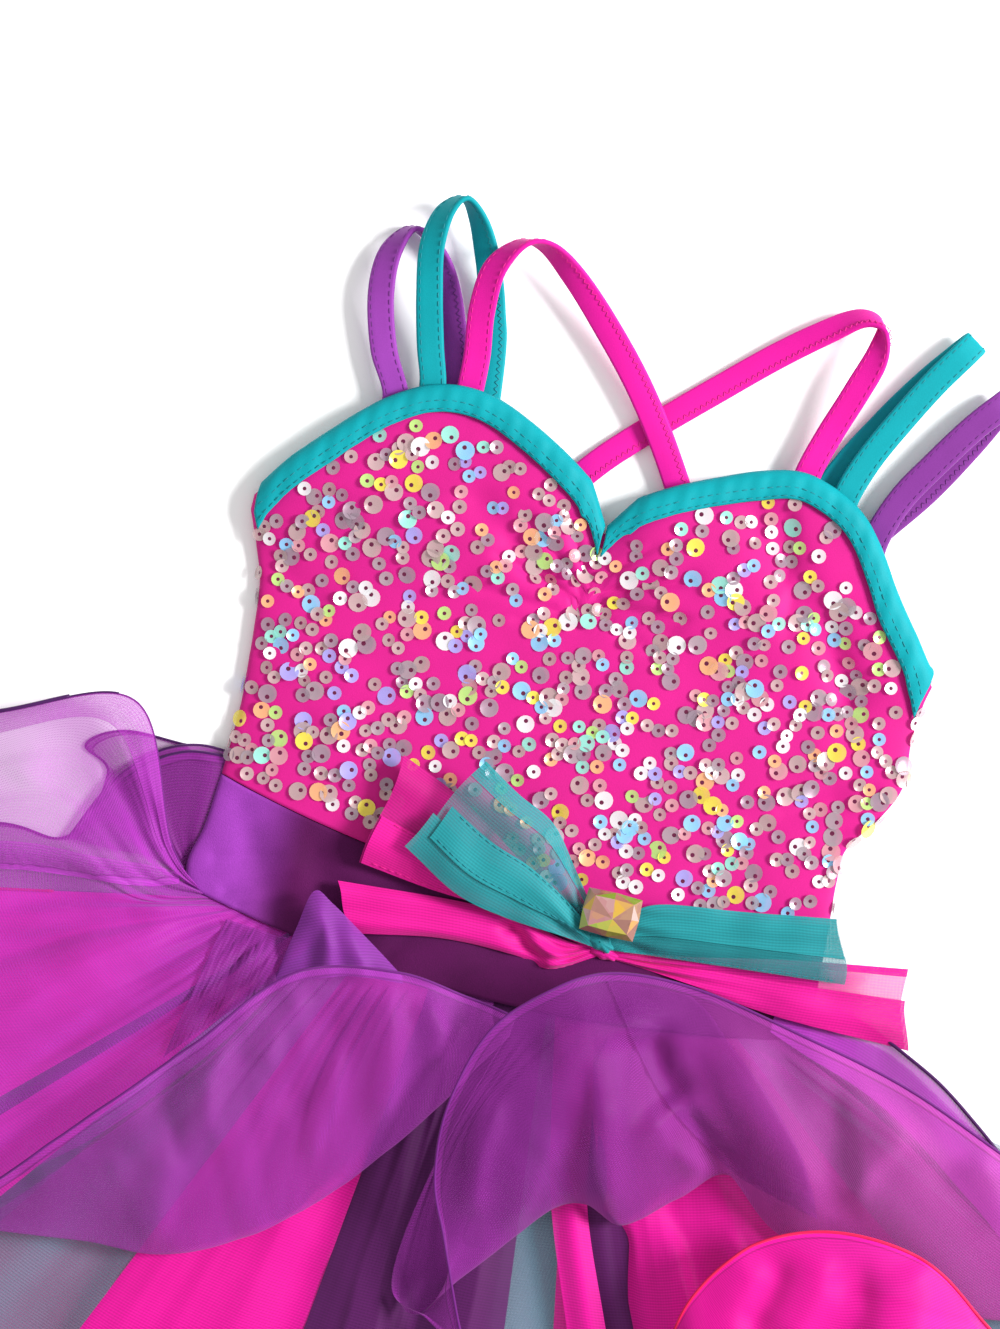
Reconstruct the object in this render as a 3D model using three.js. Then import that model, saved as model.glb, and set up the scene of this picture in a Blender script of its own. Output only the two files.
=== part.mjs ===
// A child's tutu dress for the stage, lying on its back on a flat surface, front up.
// Millimetres. +Z up from the surface, +Y from the waist towards the neck, +X to the right of someone
// who looks down at the front. The origin is the middle of the waist, on the surface.
import * as THREE from 'three';

// Driving dimensions
const wall = { stretch: 1.6, net: 1.0, ribbon: 1.0, strap: 1.8, tape: 0.9 };
const gap = 0.3;                       // between pieces that are sewn together
const bodice = { waistDip: 15, crown: 4.1, bustRise: 3.9, sideZ: 2.3 };
const basque = { half: 111, crown: 4.1, squareness: 4, bulge: 2.6 };
const seam = { half: 106, middleY: -39, endRise: 13 };
const binding = { width: 7.6, wrap: 1.6, ease: 0.45, notchDrop: 1.15 };
const strapWidth = 9.4;
const stone = { width: 19.5, depth: 15.5, height: 6, table: 0.36, tilt: 4 };

// ---------- curves through table rows ----------

const clamp = (value, low, high) => Math.min(high, Math.max(low, value));
const mix = (a, b, t) => a + (b - a) * t;
const ease = (t) => { const s = clamp(t, 0, 1); return s * s * (3 - 2 * s); };
const bell = (t) => Math.exp(-t * t);

// A smooth curve through a list of numbers. At a whole number it passes through that entry.
function through(values, at) {
  const last = values.length - 1;
  const i = clamp(Math.floor(at), 0, last - 1);
  const t = at - i;
  const b = values[i];
  const c = values[i + 1];
  const a = i > 0 ? values[i - 1] : 2 * b - c;
  const d = i + 2 <= last ? values[i + 2] : 2 * c - b;
  return 0.5 * (2 * b + (c - a) * t + (2 * a - 5 * b + 4 * c - d) * t * t + (3 * b - a - 3 * c + d) * t * t * t);
}

// The value of one column of a table, where another column has a given value.
function lookup(rows, keyColumn, column, key) {
  const keys = rows.map((row) => row[keyColumn]);
  const wanted = clamp(key, keys[0], keys[keys.length - 1]);
  let i = 0;
  while (i < keys.length - 2 && keys[i + 1] < wanted) i += 1;
  const at = i + (wanted - keys[i]) / (keys[i + 1] - keys[i]);
  return through(rows.map((row) => row[column]), at);
}

const pointThrough = (points, at) => new THREE.Vector3(
  through(points.map((p) => p.x), at),
  through(points.map((p) => p.y), at),
  through(points.map((p) => p.z), at),
);

const heading = (degrees) => {
  const angle = THREE.MathUtils.degToRad(degrees);
  return new THREE.Vector3(Math.cos(angle), Math.sin(angle), 0);
};

// ---------- solids from points ----------

// Six times the volume inside a list of triangles: below nothing when they face inwards.
function enclosed(points, index) {
  let sum = 0;
  for (let k = 0; k < index.length; k += 3) {
    const [a, b, c] = [points[index[k]], points[index[k + 1]], points[index[k + 2]]];
    sum += a.dot(b.clone().cross(c));
  }
  return sum;
}

// A closed mesh from a list of points and a list of four-cornered and three-cornered faces.
function closedMesh(points, faces) {
  const positions = points.flatMap((p) => [p.x, p.y, p.z]);
  const index = faces.flatMap((f) => (f.length === 4 ? [f[0], f[1], f[2], f[0], f[2], f[3]] : f));
  if (enclosed(points, index) < 0) index.reverse();
  const geometry = new THREE.BufferGeometry();
  geometry.setAttribute('position', new THREE.Float32BufferAttribute(positions, 3));
  geometry.setIndex(index);
  geometry.computeVertexNormals();
  return geometry;
}

// The outward direction of a grid of points at each of its points.
function gridNormals(grid) {
  const lastI = grid.length - 1;
  const lastJ = grid[0].length - 1;
  return grid.map((row, i) => row.map((_, j) => {
    const across = new THREE.Vector3().subVectors(grid[Math.min(i + 1, lastI)][j], grid[Math.max(i - 1, 0)][j]);
    const along = new THREE.Vector3().subVectors(row[Math.min(j + 1, lastJ)], row[Math.max(j - 1, 0)]);
    return across.cross(along).normalize();
  }));
}

// Cloth: a wall of even thickness whose middle runs through a grid of points. grid[i][j], i across, j along.
function clothWall(grid, thickness) {
  const normals = gridNormals(grid);
  const columns = grid.length;
  const rows = grid[0].length;
  const points = [];
  for (const side of [0.5, -0.5]) {
    grid.forEach((line, i) => line.forEach((p, j) => points.push(p.clone().addScaledVector(normals[i][j], side * thickness))));
  }
  const top = (i, j) => i * rows + j;
  const under = (i, j) => columns * rows + i * rows + j;
  const faces = [];
  for (let i = 0; i < columns - 1; i += 1) {
    for (let j = 0; j < rows - 1; j += 1) {
      faces.push([top(i, j), top(i + 1, j), top(i + 1, j + 1), top(i, j + 1)]);
      faces.push([under(i, j), under(i, j + 1), under(i + 1, j + 1), under(i + 1, j)]);
    }
    faces.push([top(i, 0), under(i, 0), under(i + 1, 0), top(i + 1, 0)]);
    faces.push([top(i, rows - 1), top(i + 1, rows - 1), under(i + 1, rows - 1), under(i, rows - 1)]);
  }
  for (let j = 0; j < rows - 1; j += 1) {
    faces.push([top(0, j), top(0, j + 1), under(0, j + 1), under(0, j)]);
    faces.push([top(columns - 1, j), under(columns - 1, j), under(columns - 1, j + 1), top(columns - 1, j + 1)]);
  }
  return closedMesh(points, faces);
}

// A tape or strap: one outline carried along a list of stations, with flat ends.
function carriedOutline(stations) {
  const count = stations[0].length;
  const points = stations.flat();
  const at = (s, k) => s * count + (k % count);
  const faces = [];
  for (let s = 0; s < stations.length - 1; s += 1) {
    for (let k = 0; k < count; k += 1) faces.push([at(s, k), at(s, k + 1), at(s + 1, k + 1), at(s + 1, k)]);
  }
  const outline = stations[0].map((p, k) => new THREE.Vector2(...endPlane(stations[0], p)));
  const lastOutline = stations[stations.length - 1].map((p) => new THREE.Vector2(...endPlane(stations[stations.length - 1], p)));
  THREE.ShapeUtils.triangulateShape(outline, []).forEach(([a, b, c]) => faces.push([at(0, a), at(0, c), at(0, b)]));
  const end = stations.length - 1;
  THREE.ShapeUtils.triangulateShape(lastOutline, []).forEach(([a, b, c]) => faces.push([at(end, a), at(end, b), at(end, c)]));
  return closedMesh(points, faces);
}

// Where a point of an end outline lies in the outline's own plane.
function endPlane(outline, point) {
  const middle = outline.reduce((sum, p) => sum.add(p), new THREE.Vector3()).divideScalar(outline.length);
  const normal = new THREE.Vector3();
  outline.forEach((p, k) => {
    const a = p.clone().sub(middle);
    const b = outline[(k + 1) % outline.length].clone().sub(middle);
    normal.add(a.cross(b));
  });
  normal.normalize();
  const first = outline[1].clone().sub(outline[0]).normalize();
  const second = normal.clone().cross(first);
  const from = point.clone().sub(middle);
  return [from.dot(first), from.dot(second)];
}

const dress = new THREE.Group();
const look = {
  sequinCloth: new THREE.MeshStandardMaterial({ color: '#f2329b', roughness: 0.6, metalness: 0 }),
  tealStretch: new THREE.MeshStandardMaterial({ color: '#0ea9b0', roughness: 0.55, metalness: 0 }),
  purpleStretch: new THREE.MeshStandardMaterial({ color: '#8c33a5', roughness: 0.6, metalness: 0 }),
  pinkStretch: new THREE.MeshStandardMaterial({ color: '#fb1faa', roughness: 0.55, metalness: 0 }),
  purpleNet: new THREE.MeshStandardMaterial({ color: '#9a3aa4', roughness: 0.5, metalness: 0 }),
  pinkNet: new THREE.MeshStandardMaterial({ color: '#f00c9c', roughness: 0.5, metalness: 0 }),
  tealNet: new THREE.MeshStandardMaterial({ color: '#3fa3b2', roughness: 0.5, metalness: 0 }),
  stone: new THREE.MeshStandardMaterial({ color: '#e0a890', roughness: 0.08, metalness: 0.1 }),
};
function add(name, geometry, material) {
  const mesh = new THREE.Mesh(geometry, material);
  mesh.name = name;
  dress.add(mesh);
}

// ---------- bodice ----------

// The side seams: how far they lie from the middle at each height.
const sideRows = [
  { y: 0, left: 109, right: 109 },
  { y: 15, left: 108.5, right: 108.5 },
  { y: 30, left: 108, right: 107.5 },
  { y: 42, left: 108, right: 108 },
  { y: 56, left: 109, right: 117 },
  { y: 68, left: 110, right: 122 },
  { y: 84, left: 112, right: 121 },
  { y: 98, left: 117, right: 122 },
  { y: 107, left: 121, right: 124 },
];
// The neckline and armholes, from the notch between the cups to the side: height of the front's upper edge.
const frontTopRows = [
  { share: 0, left: 128, right: 128 },
  { share: 0.07, left: 142, right: 140.5 },
  { share: 0.17, left: 150.5, right: 148.5 },
  { share: 0.29, left: 158, right: 155.5 },
  { share: 0.4, left: 163, right: 161 },
  { share: 0.5, left: 164, right: 163.5 },
  { share: 0.59, left: 161.5, right: 161 },
  { share: 0.67, left: 156, right: 156 },
  { share: 0.74, left: 149, right: 147 },
  { share: 0.83, left: 138, right: 131 },
  { share: 0.92, left: 126, right: 117 },
  { share: 1, left: 112, right: 104 },
];
const backTopRows = [
  { share: 0, y: 104 },
  { share: 0.25, y: 110 },
  { share: 0.45, y: 119 },
  { share: 0.65, y: 119 },
  { share: 1, y: 106 },
];
// The largest creases of the front: soft troughs between two points.
const creases = [
  { fromX: 52, fromY: 146, toX: 96, toY: 96, width: 8, depth: 2.4 },
  { fromX: 100, fromY: 56, toX: 76, toY: 42, width: 7, depth: 1.6 },
  { fromX: -44, fromY: 128, toX: -20, toY: 112, width: 7, depth: 1.6 },
  { fromX: 12, fromY: 112, toX: 32, toY: 119, width: 5, depth: 1.4 },
  { fromX: 8, fromY: 103, toX: 30, toY: 101, width: 5, depth: 1.4 },
  { fromX: -11, fromY: 106, toX: -30, toY: 118, width: 5, depth: 1.4 },
];

const bodiceBottomY = (u) => bodice.waistDip * u * u;
const sideAt = (y, u) => lookup(sideRows, 'y', u < 0 ? 'left' : 'right', y);
const frontTopY = (u) => lookup(frontTopRows, 'share', u < 0 ? 'left' : 'right', Math.abs(u));
const arch = (u, squareness) => Math.pow(Math.max(0, 1 - Math.pow(Math.abs(u), squareness)), 1 / squareness);

function troughDepth(x, y, trough) {
  const runX = trough.toX - trough.fromX;
  const runY = trough.toY - trough.fromY;
  const share = clamp(((x - trough.fromX) * runX + (y - trough.fromY) * runY) / (runX * runX + runY * runY), 0, 1);
  const away = Math.hypot(x - trough.fromX - share * runX, y - trough.fromY - share * runY);
  return trough.depth * bell(away / trough.width);
}

// The front of the bodice: u across from -1 to 1, v up from 0 to 1.
function bodiceFront(u, v) {
  const top = frontTopY(u);
  const y = mix(bodiceBottomY(u), top, v);
  const x = u * sideAt(y, u);
  const bust = bodice.bustRise * ease((y - 88) / 36);
  const cleft = 3.4 * bell(x / 11) * ease((y - 84) / 40);
  const relief = creases.reduce((sum, trough) => sum + troughDepth(x, y, trough), 0);
  return new THREE.Vector3(x, y, bodice.sideZ + arch(u, basque.squareness) * (bodice.crown + bust - cleft - relief));
}

// Shares from -1 to 1, closer together near the sides, where the cloth turns down.
const acrossBody = (count) => Array.from({ length: count + 1 }, (_, i) => Math.sin(((i / count) * 2 - 1) * Math.PI / 2 * 0.97) / Math.sin(Math.PI / 2 * 0.97));
const shares = (count) => Array.from({ length: count + 1 }, (_, i) => i / count);

const besideNotch = [-0.05, -0.02, 0.02, 0.05];
const frontColumns = [...acrossBody(32), ...besideNotch].sort((a, b) => a - b);
const frontGrid = frontColumns.map((u) => shares(13).map((v) => bodiceFront(u, v)));
add('bodice_front', clothWall(frontGrid, wall.stretch), look.sequinCloth);

function bodiceBack(u, v) {
  const y = mix(bodiceBottomY(u), lookup(backTopRows, 'share', 'y', Math.abs(u)), v);
  return new THREE.Vector3(u * sideAt(y, u), y, wall.stretch / 2);
}
const evenAcross = (count) => shares(count).map((s) => 2 * s - 1);
const backColumns = 16;
add('bodice_back', clothWall(evenAcross(backColumns).map((u) => shares(4).map((v) => bodiceBack(u, v))), wall.stretch), look.sequinCloth);

// ---------- binding ----------

// A point on the front panel's mesh: u across, and how far down from the upper edge, square to that edge.
const frontNormals = gridNormals(frontGrid);
function onFront(u, down) {
  let i = 0;
  while (i < frontColumns.length - 2 && frontColumns[i + 1] < u) i += 1;
  const share = clamp((u - frontColumns[i]) / (frontColumns[i + 1] - frontColumns[i]), 0, 1);
  const rows = frontGrid[i].length - 1;
  const [left, right] = [frontGrid[i], frontGrid[i + 1]];
  const edge = right[rows].clone().sub(left[rows]);
  const steepest = binding.notchDrop + 4 * ease((Math.abs(u) - 0.04) / 0.22);
  const drop = down * Math.min(steepest, Math.hypot(edge.x, edge.y) / edge.x);
  const height = mix(left[rows].y - left[0].y, right[rows].y - right[0].y, share);
  const at = (1 - drop / height) * rows;
  const j = Math.min(rows - 1, Math.floor(at));
  const blend = (grid) => {
    const lower = grid[i][j].clone().lerp(grid[i + 1][j], share);
    return lower.lerp(grid[i][j + 1].clone().lerp(grid[i + 1][j + 1], share), at - j);
  };
  return { point: blend(frontGrid), normal: blend(frontNormals).normalize() };
}

// The tape folded over the upper edge of the front: down the outside, round the edge and down the inside.
function frontBinding(from, to) {
  const off = wall.stretch / 2 + gap + binding.ease + wall.tape / 2;
  const path = [
    [binding.width, 1], [binding.width * 0.5, 1], [0.2, 1], [-binding.wrap, 0], [0.2, -1], [binding.width * 0.5, -1], [binding.width, -1],
  ];
  const stations = [from, ...frontColumns.filter((u) => u > from + 0.01 && u < to - 0.01), to];
  return clothWall(stations.map((u) => path.map(([down, side]) => {
    const { point, normal } = onFront(u, down);
    return point.addScaledVector(normal, side * off);
  })), wall.tape);
}
const bindingEnds = { notch: 0.006, side: 0.985 };
add('binding_front_left', frontBinding(-bindingEnds.side, -bindingEnds.notch), look.tealStretch);
add('binding_front_right', frontBinding(bindingEnds.notch, bindingEnds.side), look.tealStretch);

function backBinding(count) {
  const top = wall.stretch + gap + wall.tape;
  const outline = [
    [binding.width, wall.stretch + gap], [binding.width, top], [-0.5, top], [-binding.wrap, top - 0.8],
    [-binding.wrap, 0], [-gap, 0], [-gap, wall.stretch + gap],
  ];
  const reach = 0.955;
  const columns = evenAcross(count);
  const edge = columns.map((u) => bodiceBack(u, 1).setZ(0));
  const along = columns.map((_, i) => edge[Math.min(i + 1, count)].clone().sub(edge[Math.max(i - 1, 0)]).normalize());
  const stations = shares(count).map((t) => {
    const at = clamp((clamp(2 * t - 1, -reach, reach) + 1) / 2 * count, 0, count - 0.001);
    const i = Math.floor(at);
    const point = edge[i].clone().lerp(edge[i + 1], at - i);
    const tangent = along[i].clone().lerp(along[i + 1], at - i).normalize();
    const inward = new THREE.Vector3(tangent.y, -tangent.x, 0);
    return outline.map(([into, up]) => point.clone().addScaledVector(inward, into).setZ(up));
  });
  return carriedOutline(stations);
}
add('binding_back', backBinding(backColumns), look.tealStretch);

// ---------- straps ----------

// Each strap starts under the front binding, runs over in a loop, and is sewn on the back.
// A row is a point of its middle line, with the direction of its width: which way, and how far it tips up.
const straps = [
  {
    name: 'strap_purple_left', look: look.purpleStretch, start: -0.68,
    rows: [
      { x: -90, y: 172, z: 6, way: 18, tip: 0 },
      { x: -95.5, y: 190, z: 7.5, way: 8, tip: 8 },
      { x: -96, y: 205, z: 7, way: -5, tip: 30 },
      { x: -91, y: 215, z: 5.6, way: -10, tip: 66 },
      { x: -83.5, y: 213, z: 4.9, way: 0, tip: 60 },
      { x: -76, y: 203, z: 3.6, way: 10, tip: 26 },
      { x: -69.5, y: 188, z: 2.2, way: 18, tip: 8 },
      { x: -64.5, y: 171, z: 1.9, way: 12, tip: 0 },
    ],
    end: { x: -58, y: 111 },
  },
  {
    name: 'strap_teal_left', look: look.tealStretch, start: -0.583,
    rows: [
      { x: -74.5, y: 177, z: 7.2, way: 14, tip: 0 },
      { x: -79, y: 194, z: 11, way: 10, tip: 6 },
      { x: -82, y: 210, z: 13.8, way: 0, tip: 18 },
      { x: -80.5, y: 223, z: 14, way: -10, tip: 45 },
      { x: -75, y: 229, z: 12.6, way: -5, tip: 68 },
      { x: -68.5, y: 223, z: 9.6, way: 8, tip: 48 },
      { x: -62, y: 210, z: 6.8, way: 16, tip: 22 },
      { x: -56.5, y: 194, z: 4, way: 18, tip: 6 },
      { x: -52.5, y: 177, z: 1.9, way: 12, tip: 0 },
    ],
    end: { x: -45.5, y: 111 },
  },
  {
    name: 'strap_pink_left', look: look.pinkStretch, start: -0.475,
    rows: [
      { x: -58, y: 178, z: 7.8, way: 4, tip: 0 },
      { x: -60, y: 193, z: 12, way: -2, tip: 6 },
      { x: -59, y: 208, z: 15, way: -12, tip: 26 },
      { x: -52, y: 218.5, z: 15, way: -5, tip: 55 },
      { x: -43, y: 219.5, z: 13, way: 20, tip: 52 },
      { x: -31, y: 211.5, z: 10.5, way: 36, tip: 30 },
      { x: -17, y: 198.5, z: 8, way: 42, tip: 12 },
      { x: -2, y: 182.5, z: 6.4, way: 38, tip: 2 },
      { x: 11, y: 165.5, z: 5, way: 32, tip: 0 },
      { x: 23, y: 147, z: 4, way: 30, tip: 0 },
      { x: 33, y: 129, z: 3.6, way: 26, tip: 0 },
    ],
    end: { x: 41, y: 110 },
  },
  {
    name: 'strap_pink_right', look: look.pinkStretch, start: 0.515,
    rows: [
      { x: 67.5, y: 180, z: 7.8, way: -14, tip: 0 },
      { x: 73, y: 197, z: 10.5, way: -16, tip: 6 },
      { x: 77, y: 211, z: 11.5, way: -30, tip: 24 },
      { x: 76.5, y: 221, z: 10.5, way: -60, tip: 50 },
      { x: 69, y: 222.5, z: 8.6, way: -62, tip: 44 },
      { x: 58, y: 215, z: 6, way: -50, tip: 20 },
      { x: 43.5, y: 203, z: 3.4, way: -46, tip: 6 },
      { x: 27, y: 187.5, z: 2, way: -46, tip: 0 },
      { x: 9.5, y: 170.5, z: 1.9, way: -44, tip: 0 },
      { x: -8, y: 152, z: 1.9, way: -40, tip: 0 },
      { x: -22, y: 132, z: 1.9, way: -30, tip: 0 },
    ],
    end: { x: -32, y: 108 },
  },
  {
    name: 'strap_teal_right', look: look.tealStretch, start: 0.635,
    rows: [
      { x: 83, y: 175, z: 6.8, way: -25, tip: 0 },
      { x: 90.5, y: 191, z: 7.4, way: -27, tip: 0 },
      { x: 99, y: 207, z: 7.4, way: -30, tip: 0 },
      { x: 106.5, y: 219, z: 7.2, way: -32, tip: 0 },
      { x: 109.5, y: 224, z: 5.2, way: -33, tip: 0 },
      { x: 105.5, y: 219, z: 3, way: -32, tip: 0 },
      { x: 97, y: 207.5, z: 2.2, way: -31, tip: 0 },
      { x: 86, y: 190, z: 1.9, way: -27, tip: 0 },
      { x: 73, y: 165, z: 1.9, way: -24, tip: 0 },
    ],
    end: { x: 54, y: 111 },
  },
  {
    name: 'strap_purple_right', look: look.purpleStretch, start: 0.745,
    rows: [
      { x: 97.5, y: 165, z: 6.2, way: -28, tip: 0 },
      { x: 106.5, y: 180.5, z: 7, way: -31, tip: 0 },
      { x: 115.5, y: 194.5, z: 7.2, way: -34, tip: 0 },
      { x: 122.5, y: 203.5, z: 7, way: -38, tip: 0 },
      { x: 125.5, y: 207, z: 5, way: -38, tip: 0 },
      { x: 122.5, y: 201, z: 3, way: -36, tip: 0 },
      { x: 116, y: 188, z: 2.2, way: -34, tip: 0 },
      { x: 105, y: 169, z: 1.9, way: -30, tip: 0 },
      { x: 90, y: 148, z: 1.9, way: -28, tip: 0 },
    ],
    end: { x: 66, y: 110 },
  },
];

// A strap's middle line, with its width direction, from under the binding to the back.
function strapLine({ start, rows, end }) {
  const under = wall.stretch / 2 + gap + wall.tape + gap + wall.strap / 2 + binding.ease + 1.15;
  const root = onFront(start, 7);
  const mouth = onFront(start, 0);
  const tucked = root.point.clone().addScaledVector(root.normal, -under);
  const inward = tucked.clone().sub(mouth.point).normalize();
  const leaving = mouth.point.clone().addScaledVector(mouth.normal, -under).addScaledVector(inward, -3);
  const sewnZ = wall.stretch + gap + wall.tape + gap + wall.strap / 2;
  const first = rows[0];
  const last = rows[rows.length - 1];
  const onBack = new THREE.Vector3(last.x - end.x, last.y - end.y, 0).setLength(14);
  onBack.add(new THREE.Vector3(end.x, end.y, sewnZ));
  const widthWay = THREE.MathUtils.radToDeg(Math.atan2(inward.y, inward.x)) + 90;
  const line = [
    { at: tucked, way: widthWay, tip: 0 },
    { at: leaving, way: mix(widthWay, first.way, 0.3), tip: 0 },
    ...rows.map((row) => ({ at: new THREE.Vector3(row.x, row.y, row.z), way: row.way, tip: row.tip })),
    { at: onBack, way: last.way, tip: 0 },
    { at: new THREE.Vector3(end.x, end.y, sewnZ), way: last.way, tip: 0 },
  ];
  return { line, count: line.length - 1 };
}

function strapSolid(strap, steps) {
  const { line, count } = strapLine(strap);
  const stations = shares(steps).map((t) => {
    const at = t * count;
    const middle = pointThrough(line.map((entry) => entry.at), at);
    const next = pointThrough(line.map((entry) => entry.at), Math.min(count, at + 0.02));
    const before = pointThrough(line.map((entry) => entry.at), Math.max(0, at - 0.02));
    const tangent = next.sub(before).normalize();
    const tip = THREE.MathUtils.degToRad(through(line.map((entry) => entry.tip), at));
    const width = heading(through(line.map((entry) => entry.way), at)).multiplyScalar(Math.cos(tip));
    width.z = Math.sin(tip);
    const face = new THREE.Vector3().crossVectors(width, tangent).normalize();
    const corners = [[-0.5, 0.5], [0.5, 0.5], [0.5, -0.5], [-0.5, -0.5]];
    return corners.map(([a, b]) => middle.clone().addScaledVector(width, a * strapWidth).addScaledVector(face, b * wall.strap));
  });
  return carriedOutline(stations);
}
straps.forEach((strap) => add(strap.name, strapSolid(strap, 34), strap.look));

// ---------- basque ----------

const seamY = (x) => seam.middleY + seam.endRise * (x / basque.half) ** 2;
const basqueWrinkles = [
  { fromX: -100, fromY: 2, toX: -78, toY: -26, width: 6, depth: 1.2 },
  { fromX: -70, fromY: -6, toX: -52, toY: -30, width: 6, depth: 1 },
];
function basquePoint(u, v, bulging) {
  const straight = u * mix(basque.half, 108.7, v);
  const bulge = u < 0 ? bulging * bell((v - 0.22) / 0.3) * Math.abs(u) ** 6 : 0;
  const x = straight - bulge;
  const y = mix(seamY(straight), bodiceBottomY(u) - gap, v);
  const wrinkles = basqueWrinkles.reduce((sum, trough) => sum + troughDepth(x, y, trough), 0);
  return new THREE.Vector3(x, y, bodice.sideZ + arch(u, basque.squareness) * (basque.crown - wrinkles * Math.sin(Math.PI * v)));
}
add('basque_front', clothWall(acrossBody(22).map((u) => shares(4).map((v) => basquePoint(u, v, basque.bulge))), wall.stretch), look.purpleStretch);
add('basque_back', clothWall(evenAcross(12).map((u) => shares(2).map((v) => basquePoint(u, v, 0).setZ(wall.stretch / 2))), wall.stretch), look.purpleStretch);

// ---------- skirt ----------

// The height of each layer: beside the side seams, and further out. The front ones start lower than the basque.
const layers = {
  backNet: { low: 0.5, out: 0.5, under: null },
  backGore: { low: 2.1, out: 2.3, under: null },
  frontGore: { low: 3.9, out: 4.6, under: 2.6 },
  frontNet: { low: 5.7, out: 8.5, under: 0.8 },
};
const fan = { firstWay: 186, lastWay: 352, reach: 218, spread: 1.6, ripples: 8, ripple: 4 };

const frontZ = (x) => bodice.sideZ + arch(clamp(x / basque.half, -1, 1), basque.squareness) * basque.crown;
function seamPoint(x, layer) {
  const z = layer.under === null ? layer.low : Math.max(layer.low, frontZ(x) - layer.under);
  return new THREE.Vector3(x, seamY(x) - gap - 0.9, z);
}

// A point of the fanned skirt: share across from left to right, t from the seam to the hem.
function fanPoint(share, t, layer) {
  const across = 2 * share - 1;
  const halfTurn = across < 0 ? 270 - fan.firstWay : fan.lastWay - 270;
  const way = 270 + Math.sign(across) * halfTurn * Math.pow(Math.abs(across), fan.spread);
  const start = seamPoint(across * seam.half, layer);
  const out = start.clone().addScaledVector(heading(way), t * fan.reach);
  const settled = ease(t / 0.45);
  const wave = layer.under === null ? 0 : fan.ripple * 0.5 * (1 - Math.cos(2 * Math.PI * fan.ripples * share)) * settled;
  return out.setZ(mix(start.z, layer.out, settled) + wave);
}

// One gore between two shares of the fan, 0.3 mm away from its neighbours.
function gore(from, to, layer, columns, steps) {
  return clothWall(shares(columns).map((s) => shares(steps).map((t) => {
    const inset = gap / 2 / fanPoint(from, t, layer).distanceTo(fanPoint(to, t, layer));
    return fanPoint(mix(from, to, mix(inset, 1 - inset, s)), t, layer);
  })), wall.net);
}

// A net layer from a table with a row per section: from the seam, over a near point, round a fold, to the hem.
function netLayer(rows, layer, columns, steps) {
  const column = (name, s) => through(rows.map((row) => row[name]), s * (rows.length - 1));
  return clothWall(shares(columns).map((s) => {
    const fold = new THREE.Vector3(column('foldX', s), column('foldY', s), column('foldZ', s));
    const hem = new THREE.Vector3(column('hemX', s), column('hemY', s), column('hemZ', s));
    const over = fold.clone().lerp(hem, 0.45);
    over.z += column('puff', s);
    const near = new THREE.Vector3(column('nearX', s), column('nearY', s), column('nearZ', s));
    const path = [seamPoint(column('seam', s), layer), near, fold, over, hem];
    return shares(steps).map((t) => pointThrough(path, t * (path.length - 1)));
  }), wall.net);
}

const backNetRows = [
  { seam: -106, nearX: -116, nearY: -10, foldX: -118, foldY: 20.5, hemX: -330, hemY: 6 },
  { seam: -98, nearX: -124, nearY: -36, foldX: -178, foldY: -40, hemX: -318, hemY: -78 },
  { seam: -76, nearX: -110, nearY: -72, foldX: -160, foldY: -112, hemX: -262, hemY: -180 },
  { seam: -38, nearX: -58, nearY: -92, foldX: -90, foldY: -150, hemX: -130, hemY: -250 },
  { seam: 0, nearX: 0, nearY: -94, foldX: 0, foldY: -154, hemX: 0, hemY: -262 },
  { seam: 38, nearX: 58, nearY: -92, foldX: 90, foldY: -150, hemX: 130, hemY: -250 },
  { seam: 76, nearX: 110, nearY: -74, foldX: 160, foldY: -116, hemX: 256, hemY: -184 },
  { seam: 98, nearX: 126, nearY: -40, foldX: 180, foldY: -66, hemX: 300, hemY: -110 },
  { seam: 106, nearX: 138, nearY: -23, foldX: 184, foldY: -46, hemX: 308, hemY: -78 },
];
const lying = (rows, z) => rows.map((row) => ({ ...row, nearZ: z, foldZ: z, hemZ: z, puff: 0 }));
add('net_back', netLayer(lying(backNetRows, layers.backNet.out), layers.backNet, 24, 6), look.purpleNet);

const backGores = [
  { name: 'gore_back_1', from: 0.02, to: 0.21, look: look.tealNet },
  { name: 'gore_back_2', from: 0.21, to: 0.4, look: look.pinkNet },
  { name: 'gore_back_3', from: 0.4, to: 0.64, look: look.tealNet },
  { name: 'gore_back_4', from: 0.64, to: 0.79, look: look.pinkNet },
  { name: 'gore_back_5', from: 0.79, to: 0.98, look: look.tealNet },
];
backGores.forEach((g) => add(g.name, gore(g.from, g.to, layers.backGore, 6, 4), g.look));

const frontGores = [
  { name: 'gore_front_1', from: 0.02, to: 0.2, look: look.pinkNet },
  { name: 'gore_front_2', from: 0.2, to: 0.27, look: look.tealNet },
  { name: 'gore_front_3', from: 0.27, to: 0.41, look: look.pinkNet },
  { name: 'gore_front_4', from: 0.41, to: 0.6, look: look.purpleNet },
  { name: 'gore_front_5', from: 0.6, to: 0.65, look: look.pinkNet },
  { name: 'gore_front_7', from: 0.93, to: 0.985, look: look.tealNet },
];
frontGores.forEach((g) => add(g.name, gore(g.from, g.to, layers.frontGore, 8, 8), g.look));

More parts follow.
